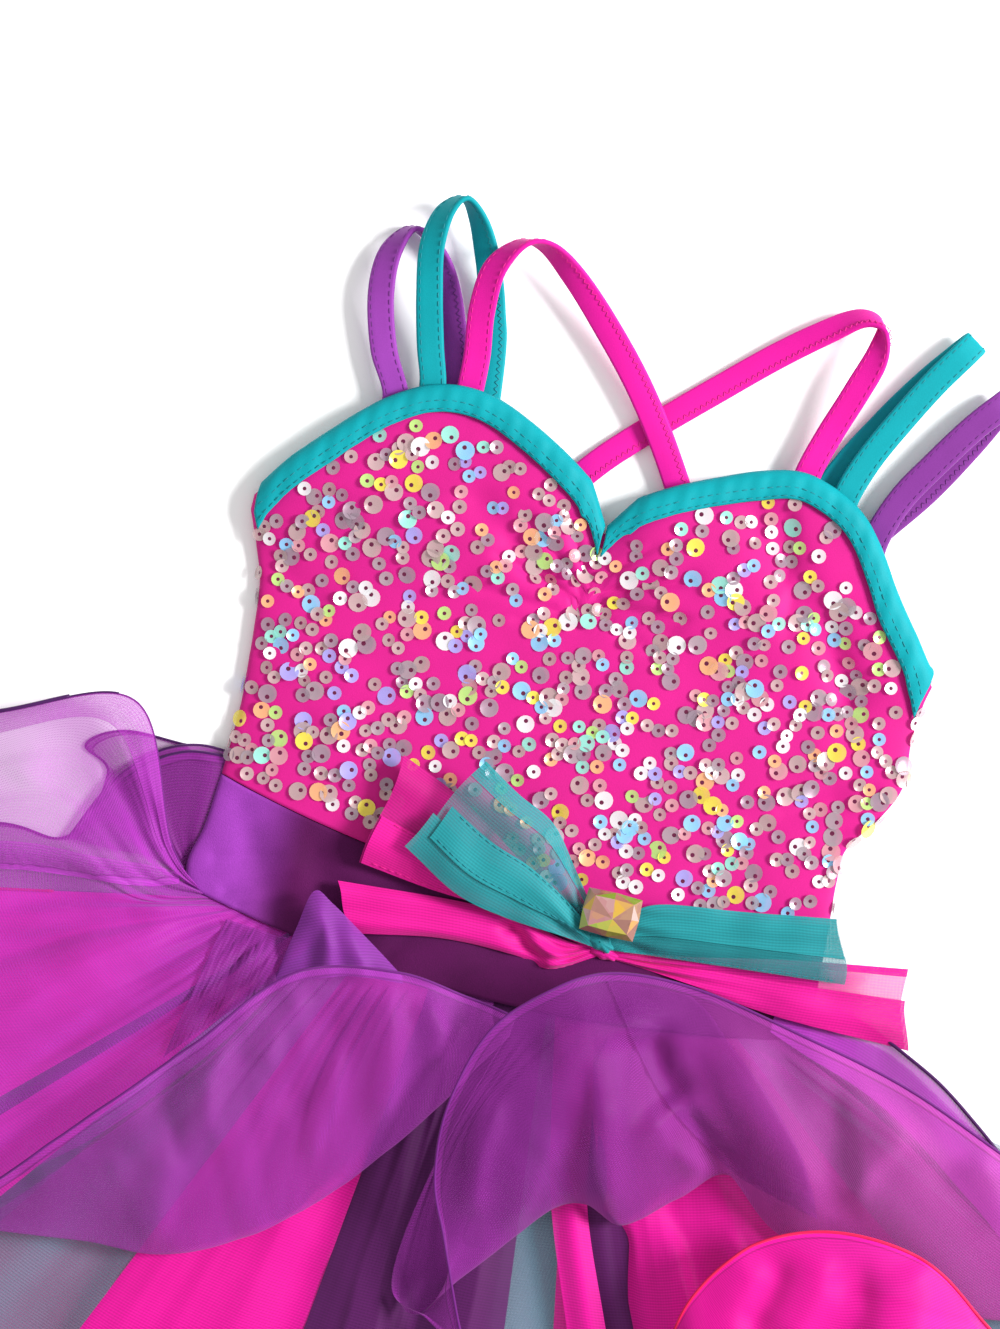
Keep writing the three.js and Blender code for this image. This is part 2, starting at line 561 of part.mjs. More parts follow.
// The one pink gore that turns up over the purple net.
const turnedGoreRows = [
  { seam: 33, nearX: 62, nearY: -112, nearZ: 6, foldX: 92, foldY: -176, foldZ: 6, puff: 6, hemX: 88, hemY: -142, hemZ: 20 },
  { seam: 42, nearX: 78, nearY: -118, nearZ: 7, foldX: 112, foldY: -192, foldZ: 7, puff: 9, hemX: 92.5, hemY: -117.6, hemZ: 26 },
  { seam: 51, nearX: 96, nearY: -122, nearZ: 6, foldX: 138, foldY: -196, foldZ: 7, puff: 12, hemX: 108, hemY: -96, hemZ: 30 },
  { seam: 60, nearX: 114, nearY: -116, nearZ: 8, foldX: 168, foldY: -190, foldZ: 9, puff: 14, hemX: 134.7, hemY: -84.7, hemZ: 32 },
  { seam: 70, nearX: 130, nearY: -106, nearZ: 7, foldX: 198, foldY: -176, foldZ: 8, puff: 14, hemX: 165, hemY: -88, hemZ: 32 },
  { seam: 79, nearX: 146, nearY: -94, nearZ: 7, foldX: 226, foldY: -156, foldZ: 8, puff: 12, hemX: 191.8, hemY: -103.7, hemZ: 28 },
  { seam: 87, nearX: 154, nearY: -84, nearZ: 6, foldX: 240, foldY: -136, foldZ: 7, puff: 6, hemX: 214, hemY: -118, hemZ: 20 },
];
add('gore_front_6', netLayer(turnedGoreRows, layers.frontGore, 18, 14), look.pinkNet);

const leftSideRows = [
  { seam: -106, nearX: -120, nearY: -13, nearZ: 6.8, foldX: -138, foldY: 28.5, foldZ: 11, puff: 3, hemX: -244, hemY: 0, hemZ: 12 },
  { seam: -104, nearX: -124, nearY: -19, nearZ: 9, foldX: -156, foldY: 12, foldZ: 15, puff: 3, hemX: -252, hemY: -26, hemZ: 12 },
  { seam: -100, nearX: -126, nearY: -32, nearZ: 12, foldX: -162, foldY: -18, foldZ: 21, puff: 4, hemX: -262, hemY: -66, hemZ: 12 },
  { seam: -95, nearX: -122, nearY: -36, nearZ: 16, foldX: -160, foldY: -50, foldZ: 17, puff: 2, hemX: -262, hemY: -104, hemZ: 12 },
  { seam: -87, nearX: -112, nearY: -52, nearZ: 18, foldX: -148, foldY: -80, foldZ: 23, puff: 4, hemX: -246, hemY: -146, hemZ: 13 },
  { seam: -76, nearX: -98, nearY: -64, nearZ: 18, foldX: -132, foldY: -102, foldZ: 19, puff: 0, hemX: -214, hemY: -176, hemZ: 14 },
  { seam: -64, nearX: -84, nearY: -72, nearZ: 18, foldX: -116, foldY: -112, foldZ: 17, puff: 0, hemX: -166, hemY: -158, hemZ: 14 },
];
add('net_front_left_side', netLayer(leftSideRows, layers.frontNet, 16, 10), look.purpleNet);

const leafRows = [
  { seam: -62, nearX: -88, nearY: -80, nearZ: 13.5, foldX: -150, foldY: -153, foldZ: 12.8, puff: 1, hemX: -160, hemY: -151, hemZ: 16 },
  { seam: -57, nearX: -86, nearY: -88, nearZ: 12.5, foldX: -112, foldY: -150.6, foldZ: 11.8, puff: 6, hemX: -137, hemY: -124.3, hemZ: 27 },
  { seam: -50, nearX: -76, nearY: -90, nearZ: 12.5, foldX: -87, foldY: -149.8, foldZ: 11.3, puff: 9, hemX: -122.7, hemY: -108.2, hemZ: 33 },
  { seam: -42, nearX: -58, nearY: -86, nearZ: 12, foldX: -61, foldY: -138, foldZ: 11.3, puff: 12, hemX: -94.7, hemY: -75.9, hemZ: 37 },
  { seam: -33, nearX: -42, nearY: -78, nearZ: 12.5, foldX: -37.4, foldY: -117.5, foldZ: 11.3, puff: 12, hemX: -66.7, hemY: -43.7, hemZ: 36 },
  { seam: -22, nearX: -24, nearY: -66, nearZ: 12.5, foldX: -12.8, foldY: -86.2, foldZ: 12.3, puff: 10, hemX: -32.7, hemY: -35.2, hemZ: 32 },
  { seam: -9, nearX: -8, nearY: -52, nearZ: 13, foldX: 2.5, foldY: -60.7, foldZ: 13.8, puff: 5, hemX: -6.8, hemY: -37.8, hemZ: 25 },
  { seam: 2, nearX: 4, nearY: -46, nearZ: 13.5, foldX: 9.5, foldY: -49, foldZ: 15.8, puff: 2, hemX: 11, hemY: -40.5, hemZ: 20 },
];
add('net_front_left', netLayer(leafRows, layers.frontNet, 22, 14), look.purpleNet);

const bellRows = [
  { seam: 12, nearX: -4, nearY: -96, nearZ: 11, foldX: -9, foldY: -141, foldZ: 12.8, puff: 3, hemX: 24, hemY: -160, hemZ: 19 },
  { seam: 16, nearX: -1, nearY: -96, nearZ: 11, foldX: 0, foldY: -146, foldZ: 11.8, puff: 3, hemX: 16, hemY: -146, hemZ: 22 },
  { seam: 21, nearX: 2, nearY: -92, nearZ: 11, foldX: 13, foldY: -133, foldZ: 11.8, puff: 5, hemX: 6, hemY: -123, hemZ: 27 },
  { seam: 26, nearX: 6, nearY: -84, nearZ: 11, foldX: 27, foldY: -117, foldZ: 11.8, puff: 8, hemX: -3, hemY: -102, hemZ: 31 },
  { seam: 32, nearX: 14, nearY: -76, nearZ: 12, foldX: 39, foldY: -103, foldZ: 11.3, puff: 12, hemX: -5.1, hemY: -76, hemZ: 36 },
  { seam: 39, nearX: 30, nearY: -70, nearZ: 12, foldX: 50, foldY: -99, foldZ: 11.3, puff: 15, hemX: 2.5, hemY: -46.3, hemZ: 39 },
  { seam: 46, nearX: 46, nearY: -68, nearZ: 11.5, foldX: 64, foldY: -103, foldZ: 11.3, puff: 16, hemX: 22.5, hemY: -25.1, hemZ: 38 },
  { seam: 54, nearX: 60, nearY: -66, nearZ: 11, foldX: 80, foldY: -90, foldZ: 11.3, puff: 15, hemX: 42, hemY: -16.6, hemZ: 34 },
  { seam: 63, nearX: 74, nearY: -62, nearZ: 10.5, foldX: 96, foldY: -77, foldZ: 11.8, puff: 10, hemX: 70.9, hemY: -16.6, hemZ: 30 },
  { seam: 73, nearX: 92, nearY: -58, nearZ: 11, foldX: 115, foldY: -92, foldZ: 11.3, puff: 8, hemX: 108.6, hemY: -23.4, hemZ: 30 },
  { seam: 84, nearX: 112, nearY: -56, nearZ: 11, foldX: 146, foldY: -102, foldZ: 11.3, puff: 10, hemX: 146.8, hemY: -31.9, hemZ: 29 },
  { seam: 94, nearX: 132, nearY: -54, nearZ: 11.5, foldX: 188, foldY: -104, foldZ: 11.3, puff: 8, hemX: 186.7, hemY: -47.2, hemZ: 24 },
  { seam: 103, nearX: 146, nearY: -48, nearZ: 11, foldX: 226, foldY: -94, foldZ: 10.8, puff: 4, hemX: 232, hemY: -64, hemZ: 16 },
];
add('net_front_right', netLayer(bellRows, layers.frontNet, 32, 14), look.purpleNet);

// ---------- bow ----------

// Each ribbon end fans out from the knot: rows from the knot outwards, with its two edges.
const bowParts = [
  {
    name: 'bow_pink_upper_left', look: look.pinkNet,
    rows: [
      { upX: 25.7, upY: -3, lowX: 25.7, lowY: -8, z: 8.5, puff: 0.6 },
      { upX: -6, upY: 10, lowX: -8, lowY: -3, z: 9.3, puff: 4 },
      { upX: -27, upY: 26, lowX: -32, lowY: -3, z: 10.3, puff: 5 },
      { upX: -49.5, upY: 36.4, lowX: -53.5, lowY: -4, z: 11.7, puff: 4 },
    ],
  },
  {
    name: 'bow_pink_lower_left', look: look.pinkNet,
    rows: [
      { upX: 25.7, upY: -12.5, lowX: 26.8, lowY: -16, z: 8, puff: 0.4 },
      { upX: -2, upY: -9, lowX: 0, lowY: -21.6, z: 8, puff: 3 },
      { upX: -31, upY: -7.4, lowX: -24, lowY: -23.6, z: 8.1, puff: 3 },
      { upX: -61, upY: -11.6, lowX: -49.3, lowY: -26.7, z: 8.7, puff: 2 },
    ],
  },
  {
    name: 'bow_pink_right', look: look.pinkNet,
    rows: [
      { upX: 42.3, upY: -9, lowX: 42.3, lowY: -13, z: 8.1, puff: 0.4 },
      { upX: 66, upY: -8.2, lowX: 66, lowY: -15.4, z: 8.1, puff: 1.2 },
      { upX: 98, upY: -4.6, lowX: 96, lowY: -20.6, z: 8.5, puff: 2 },
      { upX: 136, upY: 8, lowX: 143, lowY: -20.5, z: 9.3, puff: 2 },
    ],
  },
  {
    name: 'bow_teal_left', look: look.tealNet,
    rows: [
      { upX: 25.7, upY: 3, lowX: 25.7, lowY: -4, z: 11.3, puff: 0.4 },
      { upX: 10, upY: 24, lowX: 4, lowY: -5, z: 15.3, puff: 3 },
      { upX: -4, upY: 34, lowX: -16, lowY: -1, z: 18.1, puff: 3 },
      { upX: -20.8, upY: 39.9, lowX: -38.6, lowY: 3, z: 19.7, puff: 2 },
    ],
  },
  {
    name: 'bow_teal_right', look: look.tealNet,
    rows: [
      { upX: 42.3, upY: 3, lowX: 42.3, lowY: -7, z: 10.3, puff: 0.4 },
      { upX: 64, upY: 10.6, lowX: 68, lowY: -6.4, z: 10.9, puff: 1.5 },
      { upX: 86, upY: 14.2, lowX: 94, lowY: -4.2, z: 12.7, puff: 2.5 },
      { upX: 112.1, upY: 17.8, lowX: 118.7, lowY: -2.9, z: 14.1, puff: 2 },
    ],
  },
];
function ribbonEnd(rows, columns, steps) {
  const column = (name, s) => through(rows.map((row) => row[name]), s * (rows.length - 1));
  return clothWall(shares(columns).map((s) => shares(steps).map((t) => {
    const curl = column('puff', s) * (Math.sin(Math.PI * t) + 0.35 * Math.sin(3 * Math.PI * t) * s);
    const upper = new THREE.Vector3(column('upX', s), column('upY', s), column('z', s) + curl);
    return upper.lerp(new THREE.Vector3(column('lowX', s), column('lowY', s), column('z', s) + curl), t);
  })), wall.ribbon);
}
bowParts.forEach((part) => add(part.name, ribbonEnd(part.rows, 8, 6), part.look));

// The knot: a short band of ribbon round the middle of the bow.
const knot = { x: 34, y: -5, halfWidth: 8, halfHeight: 9, z: 7.4, thickness: 6.5, bevel: 2 };
function roundedBlock({ x, y, halfWidth, halfHeight, z, thickness, bevel }) {
  const levels = [[0, bevel], [bevel, 0], [thickness - bevel, 0], [thickness, bevel]];
  return carriedOutline(levels.map(([up, inset]) => shares(16).slice(0, 16).map((s) => {
    const angle = 2 * Math.PI * s;
    const square = 1 / Math.pow(Math.abs(Math.cos(angle)) ** 4 + Math.abs(Math.sin(angle)) ** 4, 0.25);
    const px = x + Math.cos(angle) * square * (halfWidth - inset);
    return new THREE.Vector3(px, y + Math.sin(angle) * square * (halfHeight - inset), z + up);
  })));
}
add('bow_knot', roundedBlock(knot), look.pinkNet);

// The cut stone on the knot: a table, a sloping crown and a short pavilion.
function cutStone({ width, depth, height, table, tilt }) {
  const turn = new THREE.Matrix4().makeRotationZ(THREE.MathUtils.degToRad(tilt));
  turn.setPosition(34.4, 0.2, knot.z + knot.thickness + gap);
  const levels = [[0, 0.72], [height * 0.3, 1], [height * 0.42, 1], [height * 0.75, 0.74], [height, table * 1.6]];
  return carriedOutline(levels.map(([up, scale]) => {
    const corner = 0.24;
    const outline = [[1, -1 + corner], [1, 1 - corner], [1 - corner, 1], [-1 + corner, 1], [-1, 1 - corner],
      [-1, -1 + corner], [-1 + corner, -1], [1 - corner, -1]];
    return outline.map(([a, b]) => new THREE.Vector3(a * scale * width / 2, b * scale * depth / 2, up).applyMatrix4(turn));
  }));
}
add('stone', cutStone(stone), look.stone);

export default dress;
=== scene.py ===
import math
import random

import bmesh
import bpy
import numpy as np
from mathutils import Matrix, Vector


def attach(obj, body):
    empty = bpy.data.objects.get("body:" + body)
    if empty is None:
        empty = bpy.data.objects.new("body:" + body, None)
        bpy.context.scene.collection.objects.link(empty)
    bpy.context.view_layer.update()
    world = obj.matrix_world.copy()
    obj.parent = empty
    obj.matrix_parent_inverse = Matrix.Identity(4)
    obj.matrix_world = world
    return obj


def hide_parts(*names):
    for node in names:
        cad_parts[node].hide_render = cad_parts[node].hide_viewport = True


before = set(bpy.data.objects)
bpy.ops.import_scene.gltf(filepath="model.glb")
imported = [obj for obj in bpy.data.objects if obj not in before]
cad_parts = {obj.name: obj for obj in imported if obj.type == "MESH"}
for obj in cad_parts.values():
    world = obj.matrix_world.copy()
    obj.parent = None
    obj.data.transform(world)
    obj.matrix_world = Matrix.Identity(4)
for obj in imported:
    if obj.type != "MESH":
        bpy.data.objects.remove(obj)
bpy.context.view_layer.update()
print("stage: frame loaded")

# Lengths in the tables are millimetres. +X to the right, +Y towards the neck, +Z up from the floor.
mm = 0.001

photo = {
    "centre": (-0.0242, 0.0753),  # what the middle of the picture shows, on the floor
    "turn": 14.0,  # degrees that the dress lies turned in the picture
    "distance": 1.25,
    "seen": 0.465,  # metres of the floor along the picture's long side
    "sensor": 36.0,
    "clip": 20.0,
}
light = {
    "sky": 0.74,
    "keyPower": 155.0,
    "keyAt": (2.20, 0.84, 1.70),
    "keySize": 0.84,
    "floor": (0.99, 0.99, 0.99, 1.0),
    "floorSize": 8.0,
    "floorDrop": 0.0002,  # the floor lies a hair below the cloth
    "floorRoughness": 0.9,
}


def makeCamera():
    data = bpy.data.cameras.new("camera")
    data.sensor_width = photo["sensor"]
    data.lens = photo["sensor"] * photo["distance"] / photo["seen"]
    data.clip_end = photo["clip"]
    camera = bpy.data.objects.new("camera", data)
    camera.location = (photo["centre"][0], photo["centre"][1], photo["distance"])
    camera.rotation_euler = (0.0, 0.0, math.radians(photo["turn"]))
    bpy.context.collection.objects.link(camera)
    bpy.context.scene.camera = camera


def makeStage():
    bpy.ops.mesh.primitive_plane_add(size=light["floorSize"], location=(0.0, 0.0, -light["floorDrop"]))
    floor = bpy.context.object
    floor.name = "floor"
    material = bpy.data.materials.new("floor")
    material.use_nodes = True
    surface = material.node_tree.nodes["Principled BSDF"]
    surface.inputs["Base Color"].default_value = light["floor"]
    surface.inputs["Roughness"].default_value = light["floorRoughness"]
    surface.inputs["Specular IOR Level"].default_value = 0.0
    floor.data.materials.append(material)
    world = bpy.data.worlds.new("studio")
    bpy.context.scene.world = world
    world.use_nodes = True
    sky = world.node_tree.nodes["Background"]
    sky.inputs["Color"].default_value = (1.0, 1.0, 1.0, 1.0)
    sky.inputs["Strength"].default_value = light["sky"]
    lamp = bpy.data.lights.new("window", "AREA")
    lamp.energy = light["keyPower"]
    lamp.size = light["keySize"]
    window = bpy.data.objects.new("window", lamp)
    window.location = light["keyAt"]
    aim = Vector((0.0, 0.0, 0.0)) - Vector(light["keyAt"])
    window.rotation_euler = aim.to_track_quat("-Z", "Y").to_euler()
    bpy.context.collection.objects.link(window)
    view = bpy.context.scene.view_settings
    view.view_transform = "Standard"
    view.look = "None"


makeCamera()
makeStage()
print("stage: camera and light")


def ease(t):
    s = np.clip(t, 0.0, 1.0)
    return s * s * (3.0 - 2.0 * s)


def bell(t):
    return np.exp(-np.square(t))


def mix(a, b, t):
    return a + (b - a) * t


def spline(a, b, c, d, t):
    # a smooth curve from b to c, which lie between a and d
    return 0.5 * (2 * b + (c - a) * t + (2 * a - 5 * b + 4 * c - d) * t**2 + (3 * b - a - 3 * c + d) * t**3)


def through(values, at):
    # a smooth curve through the rows of a list: at a whole number it passes through that row
    rows = np.asarray(values, float)
    last = len(rows) - 1
    at = np.asarray(at, float)
    i = np.clip(np.floor(at).astype(int), 0, last - 1)
    t = at - i
    b = rows[i]
    c = rows[i + 1]
    if rows.ndim > 1:
        t = t[..., None]
    first = (i == 0) if rows.ndim == 1 else (i == 0)[..., None]
    final = (i == last - 1) if rows.ndim == 1 else (i == last - 1)[..., None]
    a = np.where(first, 2 * b - c, rows[np.maximum(i - 1, 0)])
    d = np.where(final, 2 * c - b, rows[np.minimum(i + 2, last)])
    return spline(a, b, c, d, t)


def alongRows(rows, share):
    # rows read as one smooth curve: share is 0 at the first row and 1 at the last
    return through(rows, share * (len(rows) - 1))


def lookup(keys, column, key):
    keys = np.asarray(keys, float)
    wanted = np.clip(key, keys[0], keys[-1])
    i = np.clip(np.searchsorted(keys, wanted, side="left") - 1, 0, len(keys) - 2)
    return through(column, i + (wanted - keys[i]) / (keys[i + 1] - keys[i]))


def arch(u, squareness):
    return np.power(np.maximum(0.0, 1.0 - np.power(np.abs(u), squareness)), 1.0 / squareness)


ripples = {"count": 7, "shortest": 0.7, "longest": 1.6, "height": 1.6}


def crumple(x, y, seed, wave):
    # soft uneven ripples between -1 and 1, about one wave long in every direction
    chance = random.Random(seed)
    total = 0.0
    for _ in range(ripples["count"]):
        way = chance.uniform(0, 2 * math.pi)
        length = wave * chance.uniform(ripples["shortest"], ripples["longest"])
        phase = (x * math.cos(way) + y * math.sin(way)) * 2 * math.pi / length
        total = total + np.sin(phase + chance.uniform(0, 6.28))
    return total / ripples["count"] ** 0.5 / ripples["height"]


def wander(s, seed, waves):
    # a slow uneven drift along one direction
    chance = random.Random(seed)
    total = 0.0
    for k in range(1, 5):
        size = math.cos(chance.uniform(0, 6))
        total = total + size * np.sin(s * waves * k * 2.1 + chance.uniform(0, 6.28)) / k
    return total * 0.5


def keepMesh(name, points, faces, material, uvs=None, values=None, smooth=True):
    # a mesh object with points in millimetres; uvs and values hold one entry per point
    mesh = bpy.data.meshes.new(name)
    mesh.from_pydata((np.asarray(points) * mm).tolist(), [], [tuple(int(k) for k in f) for f in faces])
    mesh.update()
    if uvs is not None:
        layer = mesh.uv_layers.new(name="cloth")
        corners = np.empty(len(mesh.loops), dtype=np.int32)
        mesh.loops.foreach_get("vertex_index", corners)
        layer.data.foreach_set("uv", np.asarray(uvs, dtype=np.float32)[corners].ravel())
    for key, column in (values or {}).items():
        attribute = mesh.attributes.new(key, "FLOAT", "POINT")
        attribute.data.foreach_set("value", np.asarray(column, dtype=np.float32))
    if smooth:
        mesh.polygons.foreach_set("use_smooth", [True] * len(mesh.polygons))
    thing = bpy.data.objects.new(name, mesh)
    bpy.context.collection.objects.link(thing)
    mesh.materials.append(material)
    return thing


def gridFaces(across, along, flip=False, first=0):
    i, j = np.meshgrid(np.arange(across - 1), np.arange(along - 1), indexing="ij")
    a = first + i * along + j
    quads = np.stack([a, a + along, a + along + 1, a + 1], axis=-1).reshape(-1, 4)
    return quads[:, ::-1] if flip else quads


def gridNormals(grid):
    across = np.gradient(grid, axis=0)
    along = np.gradient(grid, axis=1)
    normal = np.cross(across, along)
    length = np.linalg.norm(normal, axis=-1, keepdims=True)
    return normal / np.maximum(length, 1e-9)


def gridLengths(grid):
    # how far each point of a grid lies along the cloth, across and along, in millimetres
    across = np.linalg.norm(np.diff(grid, axis=0), axis=-1)
    along = np.linalg.norm(np.diff(grid, axis=1), axis=-1)
    u = np.concatenate([np.zeros((1, grid.shape[1])), np.cumsum(across, axis=0)], axis=0)
    v = np.concatenate([np.zeros((grid.shape[0], 1)), np.cumsum(along, axis=1)], axis=1)
    return u, v


def thinSheet(name, grid, material, values=None):
    # sheer cloth: a single surface with its faces up. "lean" is how steeply each point of it stands.
    u, v = gridLengths(grid)
    normal = gridNormals(grid)
    lean = 1.0 - np.abs(normal[..., 2])
    columns = {"lean": lean.ravel(), "edge": (v[:, -1:] - v).ravel() * mm}
    for key, column in (values or {}).items():
        columns[key] = np.broadcast_to(column, u.shape).ravel()
    flip = normal[..., 2].mean() < 0
    uvs = np.stack([u, v], axis=-1).reshape(-1, 2) * mm
    faces = gridFaces(grid.shape[0], grid.shape[1], flip)
    return keepMesh(name, grid.reshape(-1, 3), faces, material, uvs, columns)


def thickSheet(name, grid, thickness, material, values=None):
    # stretch cloth: both faces and a closed rim
    normal = gridNormals(grid)
    if normal[..., 2].mean() < 0:
        grid = grid[::-1]
        normal = gridNormals(grid)
        values = {key: np.asarray(column)[::-1] for key, column in (values or {}).items()}
    across, along = grid.shape[:2]
    count = across * along
    outer = grid + normal * thickness / 2
    inner = grid - normal * thickness / 2
    points = np.concatenate([outer.reshape(-1, 3), inner.reshape(-1, 3)])
    faces = [gridFaces(across, along), gridFaces(across, along, True, count)]
    index = np.arange(count).reshape(across, along)
    rims = ((index[:, 0], False), (index[:, -1], True), (index[0, :], True), (index[-1, :], False))
    for line, turned in rims:
        rim = np.stack([line[:-1], line[:-1] + count, line[1:] + count, line[1:]], axis=-1)
        faces.append(rim[:, ::-1] if turned else rim)
    u, v = gridLengths(grid)
    uvs = np.stack([u, v], axis=-1).reshape(-1, 2) * mm
    columns = {}
    for key, column in (values or {}).items():
        columns[key] = np.tile(np.broadcast_to(column, u.shape).ravel(), 2)
    return keepMesh(name, points, np.concatenate(faces), material, np.tile(uvs, (2, 1)), columns)


def tubeFaces(rings, sides):
    # the sides and both ends of a tube whose points come ring by ring
    faces = []
    for i in range(rings - 1):
        for k in range(sides):
            n = (k + 1) % sides
            faces.append((i * sides + k, i * sides + n, (i + 1) * sides + n, (i + 1) * sides + k))
    faces.append(tuple(range(sides))[::-1])
    faces.append(tuple((rings - 1) * sides + k for k in range(sides)))
    return faces


def tube(points, radius, sides=6):
    # rings of a round cord along a line of points: (points, faces)
    points = np.asarray(points, float)
    tangent = np.gradient(points, axis=0)
    tangent /= np.maximum(np.linalg.norm(tangent, axis=1, keepdims=True), 1e-9)
    up = np.tile(np.array([0.0, 0.0, 1.0]), (len(points), 1))
    side = np.cross(tangent, up)
    side /= np.maximum(np.linalg.norm(side, axis=1, keepdims=True), 1e-9)
    over = np.cross(side, tangent)
    angles = np.arange(sides) * 2 * math.pi / sides
    ring = side[:, None, :] * np.cos(angles)[None, :, None] + over[:, None, :] * np.sin(angles)[None, :, None]
    rings = points[:, None, :] + ring * radius
    return rings.reshape(-1, 3), tubeFaces(len(points), sides)


def joinInto(thing, others):
    with bpy.context.temp_override(active_object=thing, selected_editable_objects=[thing, *others]):
        bpy.ops.object.join()


def keepPiece(piece, nodeName):
    # the piece stands for the solid of that name; cloth has no joints, so all of it is in the root
    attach(piece, "root")
    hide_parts(nodeName)


def addHemCord(thing, line, radius, material):
    points, faces = tube(line, radius)
    cord = keepMesh(thing.name + "_hem", points, faces, material)
    joinInto(thing, [cord])

inks = {
    "sequinCloth": (0.50, 0.008, 0.185),
    "teal": (0.0005, 0.265, 0.305),
    "purple": (0.235, 0.036, 0.30),
    # painted shade: a darker copy of the purple, for the right purple strap
    "purpleShade": (0.165, 0.025, 0.21),
    # painted light: the right puff's net where light comes through it
    "netLit": (0.40, 0.05, 0.31),
    "velvet": (0.255, 0.034, 0.33),
    # painted shade: the velvet where the bow and the nets shade it
    "velvetPaintedShade": (0.070, 0.002, 0.056),
    "strapPink": (0.60, 0.006, 0.26),
    "netPurple": (0.20, 0.014, 0.215),
    "purpleHem": (0.12, 0.010, 0.15),
    # painted shade: the purple net darkened where the two puffs shade it
    "netDeep": (0.07, 0.004, 0.075),
    "netSide": (0.34, 0.028, 0.37),
    "netLeaf": (0.29, 0.026, 0.31),
    "netFlap": (0.20, 0.024, 0.265),
    "netPink": (0.64, 0.002, 0.26),
    "netTeal": (0.06, 0.20, 0.25),
    "ribbonTeal": (0.012, 0.225, 0.25),
    # painted shade: a darker copy of the pink ribbon, for the upper left loop where the teal loop shades it
    "ribbonPaintedShade": (0.40, 0.003, 0.155),
    # painted light: a lighter copy of the pink net, for light that comes through the nets above it
    "netPale": (0.90, 0.014, 0.47),
    "ribbonPink": (0.60, 0.004, 0.225),
    "redHem": (0.66, 0.010, 0.075),
    "darkHem": (0.05, 0.008, 0.075),
}


def node(tree, kind, **settings):
    made = tree.nodes.new(kind)
    for key, value in settings.items():
        setattr(made, key, value)
    return made


def link(tree, start, end):
    tree.links.new(start, end)


def maths(tree, operation, *values):
    made = node(tree, "ShaderNodeMath", operation=operation)
    for k, value in enumerate(values):
        if hasattr(value, "is_linked"):
            link(tree, value, made.inputs[k])
        else:
            made.inputs[k].default_value = value
    return made.outputs[0]


knitLook = {"loops": 2600.0, "detail": 2.0, "patches": 60.0, "relief": 0.0002, "shine": 0.14,
            "sheenSpread": 0.4}
sheerLook = {
    "bend": 40.0, "drift": 9.0,  # how the threads wander
    "threadsAcross": 5200.0, "threadsAlong": 6100.0,
    "steepest": 0.16,  # cloth that stands steeper than this looks no denser
    "hemPly": 0.55, "hemShade": 0.12, "leastHem": 0.001,
    "linePly": 1.6, "lineShade": -0.45, "lineHalf": 0.00032,
    "patch": 0.25, "rib": 0.12, "threads": 0.035, "roughness": 0.6, "shine": 0.15, "sheen": 0.1,
}


def makeKnitGroup():
    # the fine loops of stretch cloth: a slightly uneven colour and a height for the bump
    tree = bpy.data.node_groups.new("knit", "ShaderNodeTree")
    tree.interface.new_socket("Colour", in_out="INPUT", socket_type="NodeSocketColor")
    tree.interface.new_socket("Unevenness", in_out="INPUT", socket_type="NodeSocketFloat")
    tree.interface.new_socket("Colour", in_out="OUTPUT", socket_type="NodeSocketColor")
    tree.interface.new_socket("Height", in_out="OUTPUT", socket_type="NodeSocketFloat")
    given = node(tree, "NodeGroupInput")
    result = node(tree, "NodeGroupOutput")
    place = node(tree, "ShaderNodeTexCoord")
    loops = node(tree, "ShaderNodeTexNoise")
    loops.inputs["Scale"].default_value = knitLook["loops"]
    loops.inputs["Detail"].default_value = knitLook["detail"]
    link(tree, place.outputs["Object"], loops.inputs["Vector"])
    soft = node(tree, "ShaderNodeTexNoise")
    soft.inputs["Scale"].default_value = knitLook["patches"]
    link(tree, place.outputs["Object"], soft.inputs["Vector"])
    both = maths(tree, "ADD", loops.outputs["Fac"], soft.outputs["Fac"])
    shade = maths(tree, "MULTIPLY_ADD", maths(tree, "SUBTRACT", both, 1.0), given.outputs["Unevenness"], 1.0)
    tinted = node(tree, "ShaderNodeMixRGB", blend_type="MULTIPLY")
    tinted.inputs["Fac"].default_value = 1.0
    link(tree, given.outputs["Colour"], tinted.inputs["Color1"])
    grey = node(tree, "ShaderNodeCombineColor")
    for channel in ("Red", "Green", "Blue"):
        link(tree, shade, grey.inputs[channel])
    link(tree, grey.outputs[0], tinted.inputs["Color2"])
    link(tree, tinted.outputs[0], result.inputs["Colour"])
    link(tree, loops.outputs["Fac"], result.inputs["Height"])
    return tree


